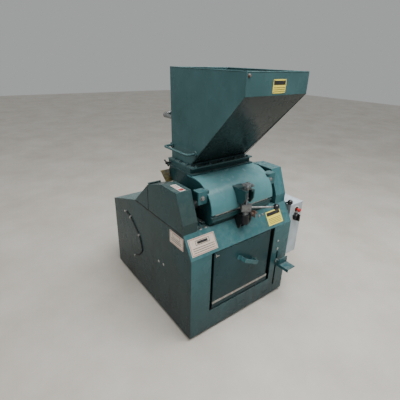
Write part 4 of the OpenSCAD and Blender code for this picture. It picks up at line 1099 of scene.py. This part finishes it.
@dataclass
class Chamber(Assembly):
    """The cutting chamber's outside: cover hems, hinge seam, lug washers and lower seam."""

    axis_y: float = 220
    axis_z: float = 790
    cover_r: float = 170
    hem_x: tuple[float, float] = (176, 664)
    seam_yz: tuple[float, float] = (291, 963)
    lower_yz: tuple[float, float] = (52, 793)
    lugs_x: tuple[tuple[float, float], ...] = ((112.4, 173.6), (666.4, 727.6))
    lug_bolts_x: tuple[float, float] = (139, 681)
    foot_x: tuple[float, float] = (173, 667)
    foot_y: tuple[float, float] = (150, 330)

    def arc(self, x: float, radius: float, start: float, end: float, count: int = 40
            ) -> np.ndarray:
        """Points on an arc about the rotor's axis.

        Args:
            x: Place along the axis, in millimetres.
            radius: Radius in millimetres.
            start: First angle in degrees, from +Y towards +Z.
            end: Last angle in degrees.
            count: Number of points.

        Returns:
            Points in metres.
        """
        angle = np.radians(np.linspace(start, end, count))
        points = np.stack([np.full(count, x), self.axis_y + radius * np.cos(angle),
                           self.axis_z + radius * np.sin(angle)], 1)
        return CORNER + points * MM

    def build(self) -> None:
        """Builds the chamber's pieces."""
        hems = [swept(self.arc(x, self.cover_r - 1.2, 90, 177), 2.6 * MM, (1, 0, 0), 12)
                for x in self.hem_x]
        self.add("cover_side_hems", joined(hems), "cover", "head", "light_teal_enamel")
        seam = straight(at(180, *self.seam_yz), at(660, *self.seam_yz), 2.2 * MM, 0.5 * MM)
        self.add("cover_top_seam", seam, "dark", "head", "dark_teal_enamel")
        lip = straight(at(178, *self.lower_yz), at(662, *self.lower_yz), 2.4 * MM)
        self.add("cover_lower_hem", lip, "cover", "head", "light_teal_enamel")
        faces = []
        for x0, x1 in self.lugs_x:
            faces += [rounded_box(at(x0, 94.6, 854.4), at(x1, 99, 927.6), 1.2 * MM, 2),
                      rounded_box(at(x0, 95, 925), at(x1, 147.4, 928.2), 1.0 * MM, 2)]
        self.add("lug_faces", joined(faces), "teal", "head", "teal_enamel")
        bolts = [bolt(at(x, 94.8, 891), Axis.Y, -1, 24, 9) for x in self.lug_bolts_x]
        self.add("lug_bolts", joined(bolts), "iron", "head", "cast_iron")
        feet = [bolt(at(x, y, 719), Axis.Z, 1, 14, 7) for x in self.foot_x for y in self.foot_y]
        self.add("housing_foot_bolts", joined(feet), "steel", "base", "bright_steel")


@dataclass
class Clamp(Assembly):
    """The front clamp: threaded spindle, four-lobed knob, lever ball and spring latch.

    Profiles are heights above the floor and radii, in millimetres.
    """

    x: float = 396
    y: float = 13
    rod_r: float = 8
    pitch: float = 1.25
    thread_depth: float = 0.9
    threads: tuple[tuple[float, float], ...] = ((744, 757), (822, 860), (920, 931))
    collar: Profile = ((757.5, 8), (758, 15.5), (759, 17), (779, 17), (780, 15.5), (780.4, 8))
    knob: Profile = (
        (914.3, 0), (914.3, 15), (931, 15.4), (932, 22), (933.5, 26.5), (936, 28.2),
        (944, 28.2), (946.5, 26.5), (948, 22), (949, 14), (950.5, 12), (950.5, 0))
    lobes: tuple[int, float] = (4, -0.24)
    ball_r: float = 19
    latch_yz: tuple[float, float] = (34, 726)

    def build(self) -> None:
        """Builds the clamp's pieces."""
        spindle = turned(self.spindle(), at(self.x, self.y, 0), Axis.Z, 32)
        self.add("clamp_spindle_thread", spindle, "oiled", "clamp_spindle", "bright_steel",
                 "clamp_screw")
        star = turned(self.knob, at(self.x, self.y, 0), Axis.Z, 96, self.lobes)
        self.add("clamp_star_knob", star, "oiled", "clamp_spindle", "bright_steel", "star_knob")
        angle = np.linspace(-math.pi / 2, math.pi / 2, 33)
        parting_line = 0.25 * (np.abs(angle) < 0.05)
        ball = list(zip(self.ball_r * np.sin(angle), self.ball_r * np.cos(angle) + parting_line))
        self.add("lever_ball", turned(ball, centre_of("nut_knob"), Axis.Z, 48), "black_plastic",
                 "clamp_lever", "black_plastic", "nut_knob")
        spring = coil(at(459, *self.latch_yz), Axis.X, 29 * MM, 11.5 * MM, 1.6 * MM, 5.5)
        self.add("latch_spring", spring, "worn", "base", "worn_steel")
        pull = turned([(0, 0), (0, 6), (2, 9), (8, 9), (9, 7), (9, 0)],
                      at(503, *self.latch_yz), Axis.X, 32)
        self.add("latch_pull_cap", pull, "worn", "latch", "worn_steel")

    def spindle(self) -> list[tuple[float, float]]:
        """The spindle's profile: a rod with three threads, a collar and a shoulder.

        In a thread the radius steps between the rod's and the crest's at each half pitch.

        Returns:
            Heights and radii in millimetres.
        """
        lower, middle, _ = self.threads
        outline = [(741, 0), (741, self.rod_r)]
        for low, high in self.threads:
            steps = np.arange(low, high, self.pitch)
            crest = self.rod_r + self.thread_depth * (np.arange(len(steps)) % 2)
            outline += [(low - 0.5, self.rod_r)] + list(zip(steps, crest))
            if (low, high) == lower:
                outline += self.collar
            if (low, high) == middle:
                outline += [(high, 14), (high, self.rod_r)]
        return outline + [(931, 8), (954, 8), (956, 6), (956, 0)]


@dataclass
class Controls(Assembly):
    """The control box: button, selector, legend plate, gasket, locks and cable gland.

    Profiles are heights and radii in millimetres. The collar's and the gland's heights count
    from their seats, and the mushroom's and the selector's from the base's front, backwards.
    """

    face_y: float = 37
    stop_at: tuple[float, float] = (934, 634)
    turn_at: tuple[float, float] = (934, 577)
    legend_half: float = 21
    collar: Profile = ((0, 0), (0, 18), (-3, 18), (-4, 16.5), (-4, 10.5), (0, 10.5))
    mushroom: Profile = (
        (64, 0), (64, 8), (15, 8), (15, 14.4), (13.8, 15.8), (11.6, 16), (8.2, 15), (5.2, 11.6),
        (3.4, 6), (3, 0))
    selector: Profile = (
        (70, 0), (70, 6), (34.4, 6), (34.4, 26), (32, 27), (15, 25.6), (12.6, 24), (12, 21),
        (12, 0))
    flutes: tuple[int, float] = (36, 0.012)
    seam_x: float = 986.4
    seam_yz: tuple[tuple[float, float], ...] = ((41, 277), (433, 277), (433, 675), (41, 675))
    lock_z: tuple[float, float] = (350, 602)
    gland: Profile = ((0, 0), (0, 17), (-5, 17), (-5, 14), (-16, 13), (-19, 10), (-19, 0))

    def build(self) -> None:
        """Builds the box's pieces."""
        self.stop_button()
        self.rotary_selector()
        corners = np.array([at(self.seam_x, y, z) for y, z in self.seam_yz])
        gasket = swept(rounded_path(corners, 10 * MM), 1.7 * MM, (1, 0, 0), 8, True)
        self.add("box_gasket", gasket, "rubber", "base", "rubber")
        locks = []
        for z in self.lock_z:
            locks += [turned([(-2, 0), (-2, 13), (0.1, 13), (0.4, 12), (0.4, 0)],
                             at(999.4, 62, z), Axis.X, 32),
                      rounded_box(at(998.6, 60.6, z - 8), at(1000, 63.4, z + 8), 0.4 * MM, 2)]
        self.add("door_locks", joined(locks), "steel", "door", "bright_steel")
        outlet = turned(self.gland, at(905, 360, 273), Axis.Z, 32)
        self.add("box_blanking_gland", outlet, "black_plastic", "base", "black_plastic")

    def stop_button(self) -> None:
        """Builds the stop button's legend plate, collar and mushroom head."""
        (x, z), half = self.stop_at, self.legend_half
        face = Sheet((0, self.face_y, 0), (1, 0, 0), (0, 0, 1), (0, -1, 0))
        legend = face.block(x - half, z - half, x + half, z + half, 0, 1.6, 0.8)
        self.add("stop_legend_plate", legend, "white", "base", "beige_plate")
        collar = turned(self.collar, at(x, self.face_y - 1.6, z), Axis.Y, 40)
        self.add("stop_collar", collar, "black_plastic", "base", "black_plastic")
        self.add("stop_mushroom", turned(self.mushroom, at(x, 0, z), Axis.Y, 48), "red_plastic",
                 "stop", "red_plastic", "stop_button")

    def rotary_selector(self) -> None:
        """Builds the rotary selector's face ring, fluted knob with its grip, and mark."""
        x, z = self.turn_at
        face = turned([(0, 0), (0, 33), (-1.2, 33), (-2, 31.5), (-2, 0)],
                      at(x, self.face_y, z), Axis.Y, 48)
        self.add("selector_face", face, "steel", "base", "bright_steel")
        disc = turned(self.selector, at(x, 0, z), Axis.Y, 144, self.flutes)
        grip = rounded_box(at(x - 6.5, -4, z - 25), at(x + 6.5, 14, z + 25), 3.5 * MM)
        self.add("selector_knob", joined([disc, grip]), "black_plastic", "switch",
                 "black_plastic", "rotary_switch")
        mark = rounded_box(at(x - 1.3, -4.4, z + 6), at(x + 1.3, -3.4, z + 22), 0.4 * MM, 2)
        self.add("selector_mark", mark, "white", "switch", "black_plastic")


@dataclass
class Front(Assembly):
    """The front of the base: sill, bin hem, screws, washers and the pedal's collar.

    Sizes are in millimetres, and profiles are heights and radii. Screw places are x and z on
    the front, y and z on the left side, and x along the sloping strip.
    """

    sill_z: tuple[float, float] = (199, 217)
    bin_x: tuple[float, float] = (168.4, 638.6)
    bin_z: tuple[float, float] = (224.6, 576)
    dome: Profile = ((0, 0), (0, 9), (-1.4, 9), (-1.4, 6.6), (-3, 6), (-4.4, 4), (-5, 0))
    tall_dome: Profile = ((0, 0), (0, 9), (1.4, 9), (1.4, 6.8), (4, 6), (6.6, 3.4), (7, 0))
    front_screws: tuple[tuple[float, float], ...] = ((731, 462), (736, 399))
    side_screws: tuple[tuple[float, float], ...] = ((349, 391), (290, 399))
    bevel_screws: tuple[float, float] = (572, 603)
    bevel_screw_up: float = 108
    deck_bolts: tuple[float, float] = (126, 160)
    collar: Profile = (
        (-3, 0), (-3, 12), (-4.5, 14), (-8, 14), (-9, 12), (-9, 5.5), (-7, 5), (-7, 0))

    def build(self) -> None:
        """Builds the front's pieces."""
        low, high = self.sill_z
        # The shelf's pale steel edge is partly rubbed wear and partly a painted highlight where
        # its top catches the light.
        sill = rounded_box(at(170.4, 5.2, low), at(659.6, 10, high), 1.2 * MM)
        self.add("shelf_worn_and_highlit_edge", sill, "sill", "shelf", "worn_steel")
        (x0, x1), (z0, z1) = self.bin_x, self.bin_z
        corners = np.array([at(x, 3.2, z) for x, z in ((x0, z0), (x1, z0), (x1, z1), (x0, z1))])
        hem = swept(rounded_path(corners, 4 * MM), 2.2 * MM, (0, 1, 0), 10, True)
        self.add("bin_front_hem", hem, "bin", "bin", "dark_teal_enamel")
        clip = [rounded_box(at(176, -3.5, 552), at(200, 2, 556), 1 * MM, 2),
                rounded_box(at(176, -3.5, 546), at(181, 2, 566), 1 * MM, 2)]
        self.add("bin_front_clip", joined(clip), "sill", "bin", "worn_steel")
        heads = [turned(self.dome, at(x, 0, z), Axis.Y, 32) for x, z in self.front_screws]
        heads += [turned(self.dome, at(0, y, z), Axis.X, 32) for y, z in self.side_screws]
        heads += [BEVEL.place(turned(self.tall_dome, (x * MM, self.bevel_screw_up * MM, 0),
                                     Axis.Z, 32)) for x in self.bevel_screws]
        heads += [bolt(at(x, 88, 709), Axis.Z, 1, 18, 8) for x in self.deck_bolts]
        self.add("panel_dome_screws", joined(heads), "steel", "base", "bright_steel",
                 "panel_screws")
        collar = turned(self.collar, at(740, 0, 301), Axis.Y, 32)
        self.add("pedal_arm_collar", collar, "sill", "pedal", "worn_steel")


@dataclass
class Plates(Assembly):
    """Riveted and stuck plates, printed with plain bars and boxes only."""

    lift: float = 0.25
    frame_width: float = 2.5
    rivet: Profile = ((1, 0), (1, 3.6), (2.6, 3.2), (3.6, 1.8), (3.8, 0))
    rivets_at: tuple[tuple[float, float], ...] = ((25, 26), (25, 110), (191, 26), (191, 110))
    guard_tag: Bar = (34, 155, 70, 256)
    guard_bars: tuple[Bar, ...] = (
        (37, 160, 67, 186), (37, 196, 41, 250), (47, 196, 51, 250), (57, 196, 61, 250))

    def printed(self, name: str, face: Sheet, bars: Sequence[Bar], base: float, finish: str,
                body: str, slot: str) -> None:
        """Lays thin printed bars on a plate.

        Args:
            name: Name of the piece.
            face: The face the plate lies on.
            bars: The bars, in local millimetres.
            base: Height of the plate's face in millimetres.
            finish: Short name of the finish.
            body: CAD body it moves with.
            slot: Material slot of the record.
        """
        blocks = [face.block(x0, y0, x1, y1, base - 0.3, base + self.lift, 0.1)
                  for x0, y0, x1, y1 in bars]
        self.add(name, joined(blocks), finish, body, slot)

    def border(self, x0: float, y0: float, x1: float, y1: float) -> list[Bar]:
        """Four bars round a box."""
        width = self.frame_width
        return [(x0, y0, x1, y0 + width), (x0, y1 - width, x1, y1), (x0, y0, x0 + width, y1),
                (x1 - width, y0, x1, y1)]

    def build(self) -> None:
        """Builds the plates' printing and rivets."""
        lines = [(34, y, 182, y + 3) for y in (34, 46, 58)]
        boxes = self.border(60, 74, 156, 100) + [(72, 80, 144, 94)]
        self.printed("nameplate_print", BEVEL, lines + boxes, 2, "ink", "base", "beige_plate")
        self.printed("nameplate_border", BEVEL, self.border(22, 23, 194, 113), 2, "ink_red",
                     "base", "beige_plate")
        rivets = [BEVEL.place(turned(self.rivet, (x * MM, y * MM, 0), Axis.Z, 20))
                  for x, y in self.rivets_at]
        self.add("nameplate_rivets", joined(rivets), "steel", "base", "bright_steel")
        self.printed("side_badge_print", LEFT, [(90, 632, 192, 636), (90, 644, 192, 648)]
                     + self.border(104, 656, 178, 684), 1, "ink", "base", "beige_plate")
        self.printed("side_badge_border", LEFT, self.border(76, 616, 206, 688), 1, "ink_red",
                     "base", "beige_plate")
        notes = [(640, y, 756, y + 3) for y in (30, 40, 50, 60)] + [(636, 82, 760, 105)]
        self.printed("caution_plate_print", BEVEL, notes, 1, "ink", "base", "yellow_plate")
        top = [(382, y, 462, y + 2.4) for y in (1443, 1452, 1461)] + [(381, 1474, 463, 1493)]
        self.printed("hopper_label_print", HOPPER_FRONT, top, 1, "ink", "head", "yellow_plate")
        tag = GUARD_TOP.block(*self.guard_tag, -0.2, 0.8, 0.3)
        self.add("guard_tag", tag, "white", "belt_guard", "beige_plate")
        self.printed("guard_tag_print", GUARD_TOP, self.guard_bars, 0.8, "ink_red",
                     "belt_guard", "beige_plate")


@dataclass
class Side(Assembly):
    """The left wall's lead and its clips, and the rear wall's pressed louvres."""

    lead: tuple[tuple[float, float], ...] = (
        (804, 560), (790, 556), (762, 549), (735, 542), (705, 524), (672, 497), (640, 472),
        (613, 453), (596, 420), (585, 385), (578, 354), (588, 330), (612, 302), (645, 272),
        (687, 248))
    lead_r: float = 3.8
    clip_rivets: tuple[tuple[float, float], ...] = ((730, 555), (740, 529))
    rivet: Profile = ((0, 0), (0, 4.6), (-1.6, 4.2), (-2.6, 2.4), (-2.8, 0))
    louvres: int = 8
    louvre_z: float = 210
    louvre_pitch: float = 34
    louvre_lean: float = 28

    def build(self) -> None:
        """Builds the side's pieces."""
        route = np.array([at(-4.3, y, z) for y, z in self.lead])
        tube = swept(smooth_path(route), self.lead_r * MM, (1, 0, 0), 14)
        self.add("sheathed_lead", tube, "rubber", "base", "rubber", "cable")
        domes = [turned(self.rivet, at(-0.4, y, z), Axis.X, 20) for y, z in self.clip_rivets]
        self.add("clip_rivets", joined(domes), "steel", "base", "bright_steel")
        # Painted shadow: thin black strips stand for the dark gap under the belt guard's edges.
        shadow_strips = [rounded_box(at(-2.0, 78, 702.5), at(1.5, 645, 709.6), 0.9 * MM, 2),
                rounded_box(at(-1.4, 460.6, 709), at(1.5, 464.4, 872), 0.7 * MM, 2)]
        self.add("guard_edge_shadow_strip", joined(shadow_strips), "rubber", "base", "rubber")
        blades = []
        for z in self.louvre_z + self.louvre_pitch * np.arange(self.louvres):
            blade = rounded_box(at(211, 1001, z - 0.4), at(629, 1018.6, z + 1.2), 0.6 * MM, 2)
            blades.append(rotated(blade, at(0, 1018, z), Axis.X, self.louvre_lean))
        self.add("louvre_blades", joined(blades), "side", "base", "teal_enamel")


# Stage --------------------------------------------------------------------------

FLOOR_HALF = 14.0
CAMERA_PLACE = (-1.2153, -1.6076, 1.570)
CAMERA_TURN = (37.575, 24.453, -1.659)  # yaw to the right, pitch down and roll, in degrees
CAMERA_LENS, CAMERA_SENSOR = 27.69, 36.0  # in millimetres
STUDIO_WHITE, STUDIO_STRENGTH = "e4e6e6", 0.5


@dataclass(frozen=True)
class Lamp:
    """A soft rectangular studio light: place and size in metres, turn in degrees, power in W."""

    name: str
    place: tuple[float, float, float]
    turn: tuple[float, float, float]
    wide: float
    deep: float
    power: float

    def hang(self) -> None:
        """Hangs the light."""
        data = bpy.data.lights.new(self.name, "AREA")
        data.shape, data.energy = "RECTANGLE", self.power
        data.size, data.size_y = self.wide, self.deep
        place_light(self.name, data, self.place, self.turn)


LAMPS = (Lamp("ceiling_panel", (0.5, -1.0, 3.5), (18, 0, 0), 3.0, 2.2, 190),
         Lamp("left_wall_bounce", (-6.4, 0.6, 3.2), (0, -66, 0), 5.0, 4.0, 110),
         Lamp("front_fill", (-0.4, -3.6, 2.6), (58, 0, -8), 2.0, 1.2, 10))
SKY_TURN, SKY_WIDTH, SKY_STRENGTH = (12, -8, 0), 70, 0.6  # degrees, degrees, W per square metre


def place_light(name: str, data: bpy.types.Light, place: Vector3, turn: Vector3) -> None:
    """Adds a light to the scene.

    Args:
        name: Name of the light.
        data: The light's data.
        place: Place in metres.
        turn: Turn about X, Y and Z in degrees.
    """
    lamp = bpy.data.objects.new(name, data)
    lamp.location = place
    lamp.rotation_euler = [math.radians(angle) for angle in turn]
    bpy.context.scene.collection.objects.link(lamp)


def lay_floor() -> None:
    """Lays a pale screeded concrete floor: soft grey-beige clouds with a low sheen."""
    half = FLOOR_HALF
    corners = np.array([[-half, -half, 0], [half, -half, 0], [half, half, 0], [-half, half, 0]])
    floor = mesh_object("floor", corners, [[0, 1, 2, 3]])
    p = Pattern("screeded_concrete_pale")
    cloud = p.ramp(p.noise(0.6, 8, rough=0.65), 0.35, 0.7)
    tone = p.mix(cloud, linear("bfbab1"), linear("aca69c"))
    rough = p.ramp(p.noise(0.2, 5), 0.3, 0.7, 0.45, 0.62)
    grit = p.bump(p.noise(6 * MM, 4), 0.3 * MM)
    floor.data.materials.append(p.finish(tone, rough, grit))


def light_studio() -> None:
    """Hangs the soft lights over a pale even backdrop."""
    world = bpy.data.worlds.new("studio")
    bpy.context.scene.world = world
    world.use_nodes = True
    backdrop = world.node_tree.nodes["Background"]
    backdrop.inputs["Color"].default_value = linear(STUDIO_WHITE)
    backdrop.inputs["Strength"].default_value = STUDIO_STRENGTH
    for lamp in LAMPS:
        lamp.hang()
    sky = bpy.data.lights.new("skylight", "SUN")
    sky.energy, sky.angle = SKY_STRENGTH, math.radians(SKY_WIDTH)
    place_light("skylight", sky, (0, 0, 0), SKY_TURN)


def set_camera() -> None:
    """Sets the camera at a standing person's eye height, in front and to the left.

    Yaw and pitch give the way ahead; roll turns the level axis and the one below it about it.
    """
    yaw, pitch, roll = (math.radians(angle) for angle in CAMERA_TURN)
    ahead = np.array([math.sin(yaw) * math.cos(pitch), math.cos(yaw) * math.cos(pitch),
                      -math.sin(pitch)])
    level = np.array([math.cos(yaw), -math.sin(yaw), 0])
    down = np.cross(ahead, level)
    right = level * math.cos(roll) + down * math.sin(roll)
    lower = -level * math.sin(roll) + down * math.cos(roll)
    data = bpy.data.cameras.new("camera")
    data.sensor_width, data.lens = CAMERA_SENSOR, CAMERA_LENS
    camera = bpy.data.objects.new("camera", data)
    bpy.context.scene.collection.objects.link(camera)
    columns = np.array([right, -lower, -ahead, CAMERA_PLACE])
    camera.matrix_world = Matrix([*columns.T.tolist(), [0, 0, 0, 1]])
    bpy.context.scene.camera = camera


def main() -> None:
    """Dresses the frame, adds every piece, and sets floor, lights and camera."""
    logging.basicConfig(level=logging.INFO)
    finishes = Finishes()
    dress(finishes)
    kinds: tuple[Callable[[Finishes], Assembly], ...] = (
        Hopper, Chamber, Clamp, Controls, Front, Plates, Side)
    for kind in kinds:
        kind(finishes).build()
    lay_floor()
    light_studio()
    set_camera()


if __name__ == "__main__":
    main()
